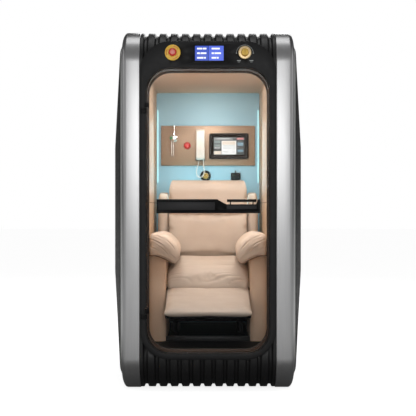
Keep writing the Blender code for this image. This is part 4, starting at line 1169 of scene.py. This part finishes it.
def relax(obj, rounds, factor=0.5):
    """Smooth a mesh a little."""
    mesh_data = bmesh.new()
    mesh_data.from_mesh(obj.data)
    for _ in range(rounds):
        bmesh.ops.smooth_vert(mesh_data, verts=mesh_data.verts, factor=factor,
                              use_axis_x=True, use_axis_y=True, use_axis_z=True)
    mesh_data.to_mesh(obj.data)
    mesh_data.free()


def push_along_normals(obj, amount):
    """Move each point along its normal by amount(place, normal)."""
    moves = [vertex.normal * amount(vertex.co, vertex.normal) for vertex in obj.data.vertices]
    for vertex, move in zip(obj.data.vertices, moves):
        vertex.co += move
    obj.data.update()


def refine(obj):
    """Split a cushion's mesh once, smoothly, so that it can carry fine folds."""
    step = obj.modifiers.new("fine", "SUBSURF")
    step.levels = 1
    step.render_levels = 1
    apply_modifiers(obj)


def finish_soft(obj, body, nodes):
    obj.data.shade_smooth()
    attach(obj, body)
    if nodes:
        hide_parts(*nodes)


def soft_form(name, mesh_data, finish, voxel, smooth=3):
    """A cushion's starting form, evenly meshed and slightly rounded."""
    obj = piece(name, mesh_data, finish, None)
    voxel_form(obj, voxel)
    obj.data.materials.clear()
    obj.data.materials.append(FINISHES[finish])
    relax(obj, smooth)
    return obj


SEAT_PROFILE = [(-0.205, 0.436), (-0.243, 0.470), (-0.246, 0.498), (-0.238, 0.524), (-0.214, 0.560),
                (-0.160, 0.604), (-0.070, 0.640), (0.040, 0.662), (0.140, 0.669), (0.212, 0.668),
                (0.225, 0.656), (0.225, 0.436)]
BACK_PROFILE = [(0.236, 0.662), (0.290, 0.666), (0.316, 0.950), (0.270, 0.9515), (0.250, 0.916),
                (0.232, 0.810), (0.228, 0.700)]
HEAD_PROFILE = [(0.316, 0.950), (0.322, 1.050), (0.335, 1.100), (0.392, 1.110), (0.396, 1.140),
                (0.372, 1.160), (0.326, 1.163), (0.286, 1.150), (0.266, 1.100), (0.262, 1.005),
                (0.272, 0.950)]
FOOT_PROFILE = [(-0.268, 0.500), (-0.268, 0.436), (-0.590, 0.380), (-0.640, 0.374), (-0.649, 0.378),
                (-0.648, 0.396), (-0.632, 0.402), (-0.520, 0.436), (-0.400, 0.470), (-0.304, 0.496)]
ARM_PAD_OUTLINE = [(0.3495, 0.7160), (0.3500, 0.775), (0.3490, 0.822), (0.336, 0.8400), (0.293, 0.8430),
                   (0.257, 0.8350), (0.217, 0.811), (0.184, 0.774), (0.168, 0.735), (0.166, 0.706),
                   (0.174, 0.680), (0.197, 0.665), (0.222, 0.676), (0.246, 0.690), (0.293, 0.7080)]
WING_PROFILE = [(0.290, 0.715), (0.300, 0.700), (0.400, 0.705), (0.420, 0.900), (0.424, 1.040),
                (0.412, 1.075), (0.380, 1.083), (0.335, 1.076), (0.310, 1.040), (0.296, 0.900)]

CUSHION_VOXEL = 0.0085
PAD_VOXEL = 0.0075
# (name, side profile, half width, pressure, furthest swell, lowest corner, highest corner)
CUSHIONS = (
    ("seat_pad", SEAT_PROFILE, 0.245, 4.0, 0.020, (-0.2478, -0.2550, 0.427), (0.2478, 0.236, 0.6830)),
    ("back_pad", BACK_PROFILE, 0.250, 4.0, 0.016, (-0.2530, 0.217, 0.6580), (0.2530, 0.330, 0.9550)),
    ("head_pad", HEAD_PROFILE, 0.250, 4.0, 0.014, (-0.2575, 0.250, 0.9400), (0.2575, 0.402, 1.1690)),
    ("foot_pad", FOOT_PROFILE, 0.238, 3.0, 0.010, (-0.2475, -0.652, 0.3750), (0.2475, -0.262, 0.5120)),
)


def make_cushions():
    """Seat, back, head and foot cushions, swollen by simulation."""
    cushions = []
    for name, profile, half, pressure, cap, low, high in CUSHIONS:
        cushion = soft_form(name, prism_mesh(profile, "X", -half, half), "leather", CUSHION_VOXEL)
        cushions.append(cushion)
        swell_later(cushion, pressure, cap, (Vector(low), Vector(high)))
    return cushions


# (y, scale, lift)
ARM_PAD_STATIONS = ((-0.400, 0.62, 0.0), (-0.397, 0.80, 0.0), (-0.388, 0.93, 0.0), (-0.370, 1.00, 0.0),
                    (-0.335, 1.00, 0.004), (-0.200, 0.98, 0.006), (0.000, 0.96, 0.006),
                    (0.130, 0.92, 0.006), (0.185, 0.84, 0.006), (0.206, 0.64, 0.006))


def arm_pad_form(side):
    """Loft of a plump arm pad, drawn in at both ends."""
    outline = smooth_route([(x, 0.0, z) for x, z in ARM_PAD_OUTLINE], 3, closed=True)
    centre = Vector((0.275, 0.0, 0.765))
    loops = []
    for y, scale, lift in ARM_PAD_STATIONS:
        shapes = [centre + (point - centre) * scale for point in outline]
        loops.append([Vector((side * shape.x, y, shape.z + lift)) for shape in shapes])
    return skin(loops, closed=False)


def make_arm_pads():
    """The two rolled arm pads, in a lighter copy of the leather that paints light on them."""
    pads = []
    for name, side in SIDES:
        pad = soft_form("arm_roll_" + name, arm_pad_form(side), "leather_pad", PAD_VOXEL)
        near, far = sorted((side * 0.1645, side * 0.3515))
        swell_later(pad, 3.0, 0.006, (Vector((near, -0.402, 0.6600)), Vector((far, 0.212, 0.8455))))
        pads.append(pad)
    return pads


def crease(distance, width, depth):
    """Depth of a soft groove at a distance from its line."""
    return -depth * math.exp(-(distance / width) ** 2)


def fold_depth(x, y, start, end, bow, width, depth):
    """Depth of one soft fold that runs between two points with a bow, and fades at both ends."""
    span_x, span_y = end[0] - start[0], end[1] - start[1]
    length = math.hypot(span_x, span_y)
    along = ((x - start[0]) * span_x + (y - start[1]) * span_y) / length ** 2
    across = ((x - start[0]) * span_y - (y - start[1]) * span_x) / length
    fade = max(0.0, 1.0 - abs(2.0 * along - 1.0) ** 3)
    line = across + bow * math.sin(math.pi * along)
    lip = 0.45 * depth * math.exp(-((abs(line) - 2.0 * width) / width) ** 2)
    return fade * (crease(line, width, depth) + lip)


# (start, end, bow, width, depth) of each fold, seen from above
SEAT_FOLDS = (((-0.070, -0.236), (0.246, -0.218), -0.002, 0.0030, 0.0015),
              ((0.020, -0.224), (0.170, -0.216), 0.002, 0.0028, 0.0014),
              ((0.090, -0.246), (0.246, -0.236), 0.002, 0.0028, 0.0017),
              ((-0.246, -0.230), (-0.090, -0.238), 0.003, 0.0030, 0.0017),
              ((-0.246, -0.205), (-0.150, -0.212), -0.002, 0.0028, 0.0016),
              ((-0.246, -0.150), (0.060, -0.144), 0.004, 0.0034, 0.0020),
              ((-0.246, -0.172), (-0.040, -0.164), 0.002, 0.0032, 0.0014),
              ((0.050, -0.130), (0.246, -0.142), -0.003, 0.0034, 0.0020),
              ((-0.200, -0.050), (0.170, -0.040), 0.010, 0.0070, 0.0012))
# the same on the front end of an arm pad, as (outward, up)
ARM_FOLDS = (((0.346, 0.806), (0.252, 0.757), -0.006, 0.0034, 0.0046),
             ((0.300, 0.772), (0.232, 0.708), -0.004, 0.0032, 0.0042),
             ((0.346, 0.760), (0.278, 0.726), -0.004, 0.0032, 0.0036),
             ((0.250, 0.802), (0.192, 0.738), -0.005, 0.0034, 0.0036),
             ((0.232, 0.722), (0.186, 0.684), -0.003, 0.0030, 0.0030),
             ((0.322, 0.828), (0.262, 0.806), -0.003, 0.0034, 0.0026))


def wrinkle_seat(place, normal):
    """Crosswise folds near the front edge and slow hollows."""
    if normal.z < 0.2:
        return 0.0
    folds = sum(fold_depth(place.x, place.y, *fold) for fold in SEAT_FOLDS)
    return folds + 0.0008 * noise.noise(Vector((place.x * 9, place.y * 26, 5.0)))


def wrinkle_back(place, normal):
    """Gathers along the top seam and the sides of the back pad."""
    if normal.y > -0.2:
        return 0.0
    seam = max(0.0, 1.0 - (0.944 - place.z) / 0.05)
    gather = 0.0022 * seam * math.sin(place.x * 95 + 2.0 * noise.noise(Vector((place.x * 6, 0.0, 1.0))))
    side = max(0.0, 1.0 - (0.248 - abs(place.x)) / 0.035)
    pull = 0.0016 * side * math.sin(place.z * 120 + place.x * 10)
    return gather + pull + 0.0012 * noise.noise(Vector((place.x * 12, 2.0, place.z * 12)))


def wrinkle_head(place, normal):
    """Faint gathers above the seam and a soft hollow for the head."""
    if normal.y > -0.2:
        return 0.0
    seam = max(0.0, 1.0 - (place.z - 0.952) / 0.04)
    gather = 0.0018 * seam * math.sin(place.x * 88 + 1.0)
    hollow = -0.004 * math.exp(-(place.x / 0.10) ** 2 - ((place.z - 1.05) / 0.06) ** 2)
    return gather + hollow + 0.0010 * noise.noise(Vector((place.x * 14, 7.0, place.z * 14)))


def round_head(obj):
    """Draw the headrest's upper corners in."""
    for vertex in obj.data.vertices:
        above = max(0.0, vertex.co.z - 1.04) / 0.13
        vertex.co.x *= 1.0 - 0.085 * above ** 2.5


def wrinkle_foot(place, normal):
    """Shallow crosswise hollows on the footrest pad."""
    if normal.z < 0.2:
        return 0.0
    first = crease(place.y + 0.292 + 0.006 * math.sin(place.x * 12), 0.007, 0.0024)
    return first + 0.0014 * noise.noise(Vector((place.x * 9, place.y * 24, 9.0)))


def wrinkle_arm(side):
    """Folds across the front end of an arm pad, and slow hollows along it."""
    def amount(place, normal):
        x = side * place.x
        front = max(0.0, 1.0 - max(0.0, place.y + 0.380) / 0.08)
        folds = sum(fold_depth(x, place.z, *fold) for fold in ARM_FOLDS) if front else 0.0
        return front * folds + 0.0011 * noise.noise(Vector((x * 34, place.y * 9, place.z * 34)))
    return amount


def stitch_mesh(path, pitch, length, radius):
    """Separate short stitches along a path."""
    parts = []
    points = [Vector(point) for point in path]
    spare = 0.0
    for start, end in zip(points, points[1:]):
        span = (end - start).length
        along = (end - start).normalized()
        while spare < span:
            place = start + along * spare
            half = along * length / 2
            parts.append(tube_mesh([place - half, place, place + half], radius, 6))
            spare += pitch
        spare -= span
    return merged(parts)


def make_backrest_frame():
    """Padded wings and a smooth rear panel around the back cushions."""
    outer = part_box("backrest_shell")[1].x - 0.004
    wings = []
    for name, side in SIDES:
        near, far = sorted((side * 0.2535, side * outer))
        wing = soft_form("back_wing_" + name, prism_mesh(WING_PROFILE, "X", near, far), "leather",
                         PAD_VOXEL, 4)
        swell_later(wing, 3.5, 0.009, (Vector((near, 0.274, 0.700)), Vector((far, 0.430, 1.0880))))
        wings.append(wing)
    rear = [(0.3065, 0.478), (0.372, 0.478), (0.392, 0.700), (0.427, 1.040), (0.424, 1.076), (0.402, 1.084),
            (0.345, 1.076), (0.330, 1.040), (0.3065, 0.720)]
    panel = piece("back_panel", prism_mesh(rear, "X", -0.216, 0.216, 0.006, 3), "leather_dark", "backrest",
                  ["backrest_shell"])
    spread = panel.modifiers.new("round", "SUBSURF")
    spread.levels = 1
    spread.render_levels = 1
    core = [(0.340, 0.702), (0.392, 0.702), (0.4265, 1.040), (0.4235, 1.074), (0.400, 1.082),
            (0.350, 1.074)]
    piece("back_core", prism_mesh(core, "X", -0.2545, 0.2545, 0.006, 3), "leather_dark", "backrest")
    return wings


ARM_STEPS = 12               # across an arm's front, and up it
ARM_BOW = 0.010
ARM_ROUND = 0.016            # how far the front's side edges lie back
ARM_TOP_EASE = 0.050         # how far the front's top lies back, above ARM_TOP
ARM_TOP = 0.82
FOOT_PIN = (-0.254, 0.500)   # the footrest's axis: y and z
RECLINE_PIN = (0.330, 0.500)


def arm_outline(low, high, z):
    """The plan of an arm box at one height, with its bowed front."""
    rise = (z - low.z) / (high.z - low.z)
    bow = ARM_BOW * math.sin(math.pi * min(1.0, rise * 1.02))
    ease = ARM_TOP_EASE * max(0.0, rise - ARM_TOP) / (1.0 - ARM_TOP)
    outline = []
    for step in range(ARM_STEPS + 1):
        across = step / ARM_STEPS
        round_off = ARM_ROUND * (abs(2 * across - 1) ** 4)
        outline.append(Vector((low.x + (high.x - low.x) * across,
                               low.y - bow + round_off + ease + 0.008, z)))
    return outline + [Vector((high.x, high.y, z)), Vector((low.x, high.y, z))]


def make_arms():
    """Upholstered arm boxes with a bowed front, bored for the footrest's pin; their leather is a darker,
    more saturated copy that paints shade on them.
    """
    for name, side in SIDES:
        low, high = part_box("arm_" + name)
        levels = [low.z + 0.0005 + (high.z - low.z - 0.001) * step / ARM_STEPS
                  for step in range(ARM_STEPS + 1)]
        loops = [arm_outline(low, high, z) for z in levels]
        arm = piece("arm_box_" + name, skin(loops, closed=False), "leather_arm", "cabin",
                    ["arm_" + name], 40.0)
        bore = [(0.0063, side * 0.235), (0.0063, side * 0.272)]
        cut(arm, "pin_tool", turned_mesh(bore, FOOT_PIN, "X", 20))


def make_arm_shadow_welts():
    """Dark welt in the joint under each arm pad, along its front end; its near-black leather is a painted
    shadow line under the pad.
    """
    line = [(0.3475, 0.7080), (0.3200, 0.7070), (0.2930, 0.7015), (0.2700, 0.6930), (0.2460, 0.6825),
            (0.2280, 0.6720), (0.2120, 0.6620), (0.1960, 0.6590)]
    for name, side in SIDES:
        route = smooth_route([(side * x, -0.3780, z) for x, z in line], 4)
        piece("arm_piping_" + name, tube_mesh(route, 0.0032, 10), "piping", "cabin")


def make_seams():
    """Gussets beside the seat in darker leather, a painted shade line between seat and arms; the welt under
    the headrest and the stitch rows on the arms.
    """
    for name, side in SIDES:
        near, far = sorted((side * 0.2330, side * 0.2483))
        gusset = box_mesh((near, -0.225, 0.430), (far, 0.200, 0.560), 0.006, 3)
        # the darker leather here is painted shade in the gap beside the seat
        piece("seat_gusset_" + name, gusset, "leather_dark", "cabin")
    route = [(x / 20 * 0.246, 0.2655, 0.9480) for x in range(-20, 21)]
    piece("back_welt", tube_mesh(route, 0.0026, 10), "leather_dark", "backrest")
    for name, side in SIDES:
        route = [(side * 0.3430, -0.3575 + 0.0005 * step, 0.225 + step * 0.045) for step in range(10)]
        piece("arm_stitches_" + name, stitch_mesh(route, 0.0075, 0.0045, 0.0007), "thread", "cabin")


def make_seat_frame():
    """Dark steel seat frame, toe rail and footrest frame under the cushions."""
    low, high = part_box("seat_frame")
    parts = [box_mesh((-0.235, -0.215, 0.300), (0.235, 0.345, 0.425), 0.003)]
    for x in (-0.20, 0.20):
        parts.append(box_mesh((x - 0.02, -0.314, low.z), (x + 0.02, 0.330, 0.226), 0.002))
        parts.append(box_mesh((x - 0.015, -0.10, 0.224), (x + 0.015, 0.25, 0.302), 0.0015))
    for x in (-0.2265, 0.2265):
        parts.append(box_mesh((x - 0.006, 0.305, 0.420), (x + 0.006, 0.342, 0.530), 0.0015))
        near, far = sorted((x, x - math.copysign(0.022, x)))
        parts.append(turned_mesh([(0.0078, near), (0.0078, far)], RECLINE_PIN, "X", 24))
    piece("seat_chassis", merged(parts), "steel", "cabin", ["seat_frame"])
    rail = box_mesh((low.x, -0.345, low.z), (high.x, -0.315, 0.229), 0.0015)
    piece("toe_rail", rail, "rail", "cabin")
    outline = [(-0.265, 0.487), (-0.243, 0.487), (-0.243, 0.513), (-0.265, 0.513), (-0.320, 0.430),
               (-0.320, 0.4060), (-0.285, 0.4100)]
    links = []
    for _, side in SIDES:
        near, far = sorted((side * 0.2426, side * 0.2468))
        links.append(prism_mesh(outline, "X", near, far, 0.0006, 1))
        near, far = sorted((side * 0.2440, side * 0.2675))
        links.append(turned_mesh([(0.0056, near), (0.0056, far)], FOOT_PIN, "X", 20))
    board = [(-0.278, 0.4285), (-0.278, 0.4125), (-0.590, 0.3625), (-0.590, 0.3765)]
    links.append(prism_mesh(board, "X", -0.2425, 0.2425, 0.002))
    piece("footrest_chassis", merged(links), "steel", "footrest", ["footrest_frame"])


def make_recliner():
    """All upholstery: form, swell, crease, then join to the frame."""
    seat, back, head, foot = make_cushions()
    pads = make_arm_pads()
    wings = make_backrest_frame()
    run_cloth()
    fit_to_limits()
    for obj, *_ in SOFT_PIECES:
        refine(obj)
    round_head(head)
    push_along_normals(seat, wrinkle_seat)
    push_along_normals(back, wrinkle_back)
    push_along_normals(head, wrinkle_head)
    push_along_normals(foot, wrinkle_foot)
    for pad, (_, side) in zip(pads, SIDES):
        push_along_normals(pad, wrinkle_arm(side))
    finish_soft(seat, "cabin", ["seat_cushion"])
    finish_soft(back, "backrest", ["back_cushion"])
    finish_soft(head, "backrest", ["headrest"])
    finish_soft(foot, "footrest", ["footrest_pad"])
    for pad, (name, _) in zip(pads, SIDES):
        finish_soft(pad, "cabin", ["arm_pad_" + name])
    for wing in wings:
        finish_soft(wing, "backrest", [])
    make_arms()
    make_arm_shadow_welts()
    make_seams()
    make_seat_frame()


# ---------------------------------------------------------------- back of the cabin
def ribbed_wall(half, reach, low_z, high_z):
    """A flat ribbed wall at the back."""
    section = rib_section(half, reach)
    return skin([[Vector((x, HALF_DEPTH - inset, z)) for x, inset in section] for z in (low_z, high_z)],
                closed=False)


LATCH_AXIS = (0.2448, 1.0)   # x and z
VENT_ROWS = 10
VENT_START = 1.24
VENT_PITCH = 0.024


def make_rear():
    """Rear wall, service hatch with its barrels and grille, latch and power inlet."""
    low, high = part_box("rear_shell")
    wall = piece("rear_ribs", ribbed_wall(high.x, 6, low.z, high.z), "shell", "cabin", ["rear_shell"],
                 40.0)
    clear = 0.0015
    cut(wall, "hatch_tool", box_mesh((HATCH_LOW.x - clear, 0.80, HATCH_LOW.z - clear),
                                     (HATCH_HIGH.x + clear, 0.95, HATCH_HIGH.z + clear), 0.0))
    cut(wall, "inlet_tool", box_mesh((0.06, 0.80, 0.315), (0.14, 0.95, 0.375), 0.0))
    hatch = piece("hatch_ribs", ribbed_wall(HATCH_HIGH.x, 4, HATCH_LOW.z, HATCH_HIGH.z), "shell", "hatch",
                  ["rear_hatch"], 40.0)
    cut(hatch, "spindle_tool", turned_mesh([(0.0085, 0.80), (0.0085, 0.95)], LATCH_AXIS, "Y", 24))
    make_hatch_barrels()
    slots = []
    for row in range(VENT_ROWS):
        z = VENT_START + row * VENT_PITCH
        for rib in range(-3, 4):
            x = rib * RIB_PITCH
            slots.append(box_mesh((x - 0.0125, HALF_DEPTH - 0.0030, z),
                                  (x + 0.0125, HALF_DEPTH + 0.0012, z + 0.009), 0.0006))
    piece("hatch_vents", merged(slots), "grille", "hatch")
    low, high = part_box("hatch_latch")
    latch = [turned_mesh([(0.016, HALF_DEPTH + GAP), (0.016, 0.893), (0.0145, 0.895)], LATCH_AXIS),
             box_mesh((0.2388, 0.8935, 0.965), (0.2508, high.y, 1.035), 0.003, 3),
             turned_mesh([(0.008, 0.846), (0.008, 0.890)], LATCH_AXIS, "Y", 24),
             box_mesh((0.2368, low.y, 0.940), (0.2528, low.y + 0.006, 1.009), 0.001)]
    piece("hatch_turn_latch", merged(latch), "bar", "latch", ["hatch_latch"])
    low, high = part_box("power_inlet")
    inlet = piece("inlet_body", box_mesh(low, high, 0.002, 2), "bar", "cabin", ["power_inlet"])
    socket = rounded_outline(0.075, 0.125, 0.325, 0.365, 0.006, 4)
    cut(inlet, "socket_tool", prism_mesh(socket, "Y", 0.866, 0.93))
    pins = [box_mesh((x - 0.0012, 0.8655, 0.3390 + lift), (x + 0.0012, 0.884, 0.3460 + lift), 0.0003)
            for x, lift in ((0.087, 0.0), (0.100, 0.009), (0.113, 0.0))]
    piece("inlet_pins", merged(pins), "chrome", "cabin")


BARREL_RADIUS = 0.0055
BARREL_HEIGHT = 0.019
BARREL_EASE = 0.0008
BARREL_LEAF = 0.030          # length of the leaf on each barrel
HATCH_HINGES = (0.56, 1.42)


def barrel_and_leaf(axis, base, reach):
    """One barrel of a hinge on the hatch's axis, with its leaf to one side."""
    x, y = axis
    top = base + BARREL_HEIGHT
    barrel = [(BARREL_RADIUS - BARREL_EASE, base), (BARREL_RADIUS, base + BARREL_EASE),
              (BARREL_RADIUS, top - BARREL_EASE), (BARREL_RADIUS - BARREL_EASE, top)]
    near, far = sorted((x, x + reach))
    leaf = box_mesh((near, y - 0.0055, base + 0.0006), (far, y - 0.0025, top - 0.0006), 0.0006)
    return [turned_mesh(barrel, axis, "Z", 24), leaf]


def make_hatch_barrels():
    """Three-barrel hinges on the hatch's left edge."""
    joint = next(joint for joint in frame["joints"] if joint["name"] == "hatch_hinge")
    axis = tuple(joint["pos_m"][:2])
    cabin_parts, hatch_parts = [], []
    for z in HATCH_HINGES:
        cabin_parts += barrel_and_leaf(axis, z - 0.030, -BARREL_LEAF)
        hatch_parts += barrel_and_leaf(axis, z - 0.0095, BARREL_LEAF)
        cabin_parts += barrel_and_leaf(axis, z + 0.0110, -BARREL_LEAF)
    piece("hatch_hinge_fixed", merged(cabin_parts), "bar", "cabin")
    piece("hatch_hinge_moving", merged(hatch_parts), "bar", "hatch")


def make_equipment():
    """Air unit and control box in the service bay."""
    low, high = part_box("air_unit")
    parts = [box_mesh((-0.24, low.y, 0.55), (0.14, high.y, 0.98), 0.008, 3),
             turned_mesh([(0.020, 0.975), (0.020, 1.16)], (-0.017, 0.720), "Z", 28),
             turned_mesh([(0.026, 0.976), (0.026, 0.992), (0.024, 0.996)], (-0.017, 0.720), "Z", 28),
             box_mesh((-0.045, 0.6925, 1.15), (0.011, 0.748, 1.24), 0.006, 3)]
    piece("air_pump", merged(parts), "case", "cabin", ["air_unit"])
    fins = [box_mesh((-0.215, high.y - 0.0005, 0.59 + row * 0.03),
                     (0.115, high.y + 0.003, 0.605 + row * 0.03), 0.001) for row in range(12)]
    piece("air_pump_fins", merged(fins), "steel", "cabin")
    low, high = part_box("control_box")
    piece("power_box", box_mesh(low, high, 0.006, 3), "case", "cabin", ["control_box"])
    lid = [box_mesh((low.x + 0.012, high.y - 0.0005, low.z + 0.012),
                    (high.x - 0.012, high.y + 0.0025, high.z - 0.012), 0.0015)]
    for x in (low.x + 0.024, high.x - 0.024):
        for z in (low.z + 0.024, high.z - 0.024):
            lid.append(screw_mesh((x, high.y + 0.0025, z), 0.004, "Y", 1.0))
    piece("power_box_lid", merged(lid), "steel", "cabin")


# ---------------------------------------------------------------- stage, light and camera
CAMERA_DISTANCE = 5.2        # from the face plate
EYE_HEIGHT = 0.986
LENS = 84.15


def make_camera():
    """Straight-on view at seat level."""
    data = bpy.data.cameras.new("camera")
    data.lens = LENS
    data.sensor_width = 36.0
    camera = bpy.data.objects.new("camera", data)
    camera.location = (0.0, FASCIA_LOW.y - CAMERA_DISTANCE, EYE_HEIGHT)
    camera.rotation_euler = (math.radians(90.0), 0.0, 0.0)
    SCENE.collection.objects.link(camera)
    SCENE.camera = camera


def area_light(name, place, target, size, power, colour=(1.0, 1.0, 1.0)):
    """A soft rectangular light aimed at a point."""
    data = bpy.data.lights.new(name, "AREA")
    data.shape = "RECTANGLE"
    data.size, data.size_y = size
    data.energy = power
    data.color = colour
    light = bpy.data.objects.new(name, data)
    light.location = place
    light.rotation_euler = (Vector(target) - Vector(place)).to_track_quat("-Z", "Y").to_euler()
    light.visible_camera = False
    SCENE.collection.objects.link(light)


# how bright the studio is: by height (0 straight down, 1 straight up), and from front (0) to rear (1)
WORLD_BANDS = ((0.0, 0.30), (0.38, 0.80), (0.50, 0.90), (0.565, 0.90), (0.61, 0.30), (0.88, 0.26),
               (0.97, 0.50))
DEPTH_BANDS = ((0.0, 1.0), (0.43, 0.95), (0.505, 0.60), (0.56, 0.10), (0.955, 0.10), (0.985, 0.55),
               (1.0, 0.55))


def grey_ramp(nodes, links, factor, stops):
    """A ramp of greys through (position, level) stops."""
    ramp = nodes.new("ShaderNodeValToRGB")
    elements = ramp.color_ramp.elements
    elements.remove(elements[1])
    for index, (position, level) in enumerate(stops):
        element = elements[0] if index == 0 else elements.new(position)
        element.position = position
        element.color = (level, level, level, 1.0)
    links.new(factor, ramp.inputs["Fac"])
    return ramp


def make_world():
    """White to the eye. For light and gloss: a bright band ahead and beside, and dark behind."""
    world = bpy.data.worlds.new("studio")
    world.use_nodes = True
    nodes, links = world.node_tree.nodes, world.node_tree.links
    place = nodes.new("ShaderNodeTexCoord")
    parts = nodes.new("ShaderNodeSeparateXYZ")
    links.new(place.outputs["Generated"], parts.inputs["Vector"])
    light = nodes["Background"]
    for axis, stops, socket in (("Z", WORLD_BANDS, "Color"), ("Y", DEPTH_BANDS, "Strength")):
        span = map_span(nodes, links, parts.outputs[axis], (-1.0, 1.0), (0.0, 1.0))
        ramp = grey_ramp(nodes, links, span, stops)
        links.new(ramp.outputs["Color"], light.inputs[socket])
    backdrop = nodes.new("ShaderNodeBackground")
    backdrop.inputs["Color"].default_value = (1.0, 1.0, 1.0, 1.0)
    mix = eye_switch(nodes, links, light.outputs["Background"], backdrop.outputs["Background"])
    links.new(mix.outputs["Shader"], nodes["World Output"].inputs["Surface"])
    SCENE.world = world


def eye_switch(nodes, links, for_light, for_eye):
    """One shader for what the camera sees directly, and another for light and reflections."""
    rays = nodes.new("ShaderNodeLightPath")
    mix = nodes.new("ShaderNodeMixShader")
    links.new(rays.outputs["Is Camera Ray"], mix.inputs["Fac"])
    links.new(for_light, mix.inputs[1])
    links.new(for_eye, mix.inputs[2])
    return mix


def make_lights():
    """A wide front softbox, weaker lights above, beside and behind, and the cabin's own lamps."""
    warm = (1.0, 0.985, 0.965)
    area_light("key", (0.0, -7.2, 1.95), (0.0, -0.4, 1.0), (2.8, 1.5), 62.0)
    area_light("top", (0.0, -0.6, 5.2), (0.0, 0.0, 1.0), (3.0, 2.0), 36.0)
    area_light("fill_left", (-4.2, 0.8, 2.4), (0.0, 0.0, 1.0), (2.4, 2.0), 12.0)
    area_light("fill_right", (4.2, 0.8, 2.4), (0.0, 0.0, 1.0), (2.4, 2.0), 12.0)
    area_light("back_fill", (0.6, 3.6, 4.2), (0.0, 0.6, 1.0), (2.4, 1.8), 60.0)
    area_light("cabin_front", (0.0, -0.62, 1.76), (0.0, -0.22, 0.60), (0.58, 0.10), 5.4, warm)
    area_light("cabin_rear", (0.0, 0.05, 1.77), (0.0, 0.10, 0.60), (0.56, 0.30), 1.7, warm)
    area_light("cabin_board", (0.02, 0.34, 1.60), (0.02, 0.62, 1.54), (0.16, 0.05), 0.36,
               (1.0, 0.95, 0.88))
    area_light("cabin_glow", (0.0, 0.46, 1.18), (0.0, 0.62, 1.30), (0.55, 0.05), 0.38,
               (0.45, 0.92, 0.95))
    for name, side in SIDES:
        area_light("strip_glow_" + name, (side * 0.28, 0.30, 1.25), (side * 0.354, 0.10, 1.22),
                   (0.06, 0.60), 0.55, (0.66, 0.92, 1.0))
        area_light("cabin_arm_" + name, (side * 0.300, -0.56, 1.60), (side * 0.335, -0.38, 0.80),
                   (0.05, 0.10), 2.2, warm)


FLOOR_FADE = ((1.2, 0.12), (2.4, 0.95))     # (metres from the middle, how much light is thrown back)
FLOOR_GLOW = 0.34


def make_stage():
    """Plain pale floor, white to the eye and a softer grey in what it throws back."""
    material, shader, nodes, links = new_material("stage_floor")
    cloud = noise_node(nodes, links, 0.6, 2.0)
    tint_by(nodes, links, shader, cloud.outputs["Fac"], (0.80, 0.80, 0.80), (0.82, 0.82, 0.82))
    set_sockets(shader, {"Roughness": 0.9, "Specular IOR Level": 0.0,
                         "Emission Color": (1.0, 1.0, 1.0, 1.0), "Emission Strength": 0.82})
    place = nodes.new("ShaderNodeTexCoord")
    reach = nodes.new("ShaderNodeVectorMath")
    reach.operation = "LENGTH"
    links.new(place.outputs["Object"], reach.inputs[0])
    fade = map_span(nodes, links, reach.outputs["Value"], *zip(*FLOOR_FADE))
    diffuse = nodes.new("ShaderNodeBsdfDiffuse")
    links.new(fade, diffuse.inputs["Color"])
    glow = nodes.new("ShaderNodeEmission")
    glow.inputs["Strength"].default_value = FLOOR_GLOW
    links.new(fade, glow.inputs["Color"])
    thrown = nodes.new("ShaderNodeAddShader")
    links.new(diffuse.outputs["BSDF"], thrown.inputs[0])
    links.new(glow.outputs["Emission"], thrown.inputs[1])
    mix = eye_switch(nodes, links, thrown.outputs["Shader"], shader.outputs["BSDF"])
    links.new(mix.outputs["Shader"], nodes["Material Output"].inputs["Surface"])
    mesh_data = bmesh.new()
    bmesh.ops.create_grid(mesh_data, x_segments=1, y_segments=1, size=40.0)
    floor = piece("stage_floor", mesh_data, None, None)
    floor.data.materials.append(material)


# ---------------------------------------------------------------- all of it
def assign_rest():
    """Better finishes on the CAD nodes that keep their own shape."""
    slots = {"ceiling_liner": "liner", "floor_deck": "floor", "back_wall": "blue_wall",
             "wall_liner_left": "liner", "wall_liner_right": "liner",
             "light_strip_left": "light", "light_strip_right": "light"}
    for node, finish_name in slots.items():
        mesh = NODES[node].data
        mesh.materials.clear()
        mesh.materials.append(FINISHES[finish_name])


def build():
    """Camera and cords first, then the shell, lining, recliner and back."""
    SCENE.view_settings.view_transform = "Standard"
    make_camera()
    make_telephone()
    make_side_frames()
    make_side_trims()
    make_side_covers()
    make_ribbed_shells()
    make_fascia()
    make_reveal()
    make_pane()
    make_crossbar()
    make_inside_grip()
    make_hinges()
    make_stop()
    make_knob()
    make_display()
    make_lining()
    assign_rest()
    make_board()
    make_screen()
    make_call_button()
    make_valve()
    make_wall_fittings()
    make_recliner()
    make_rear()
    make_equipment()
    make_stage()
    make_world()
    make_lights()


build()
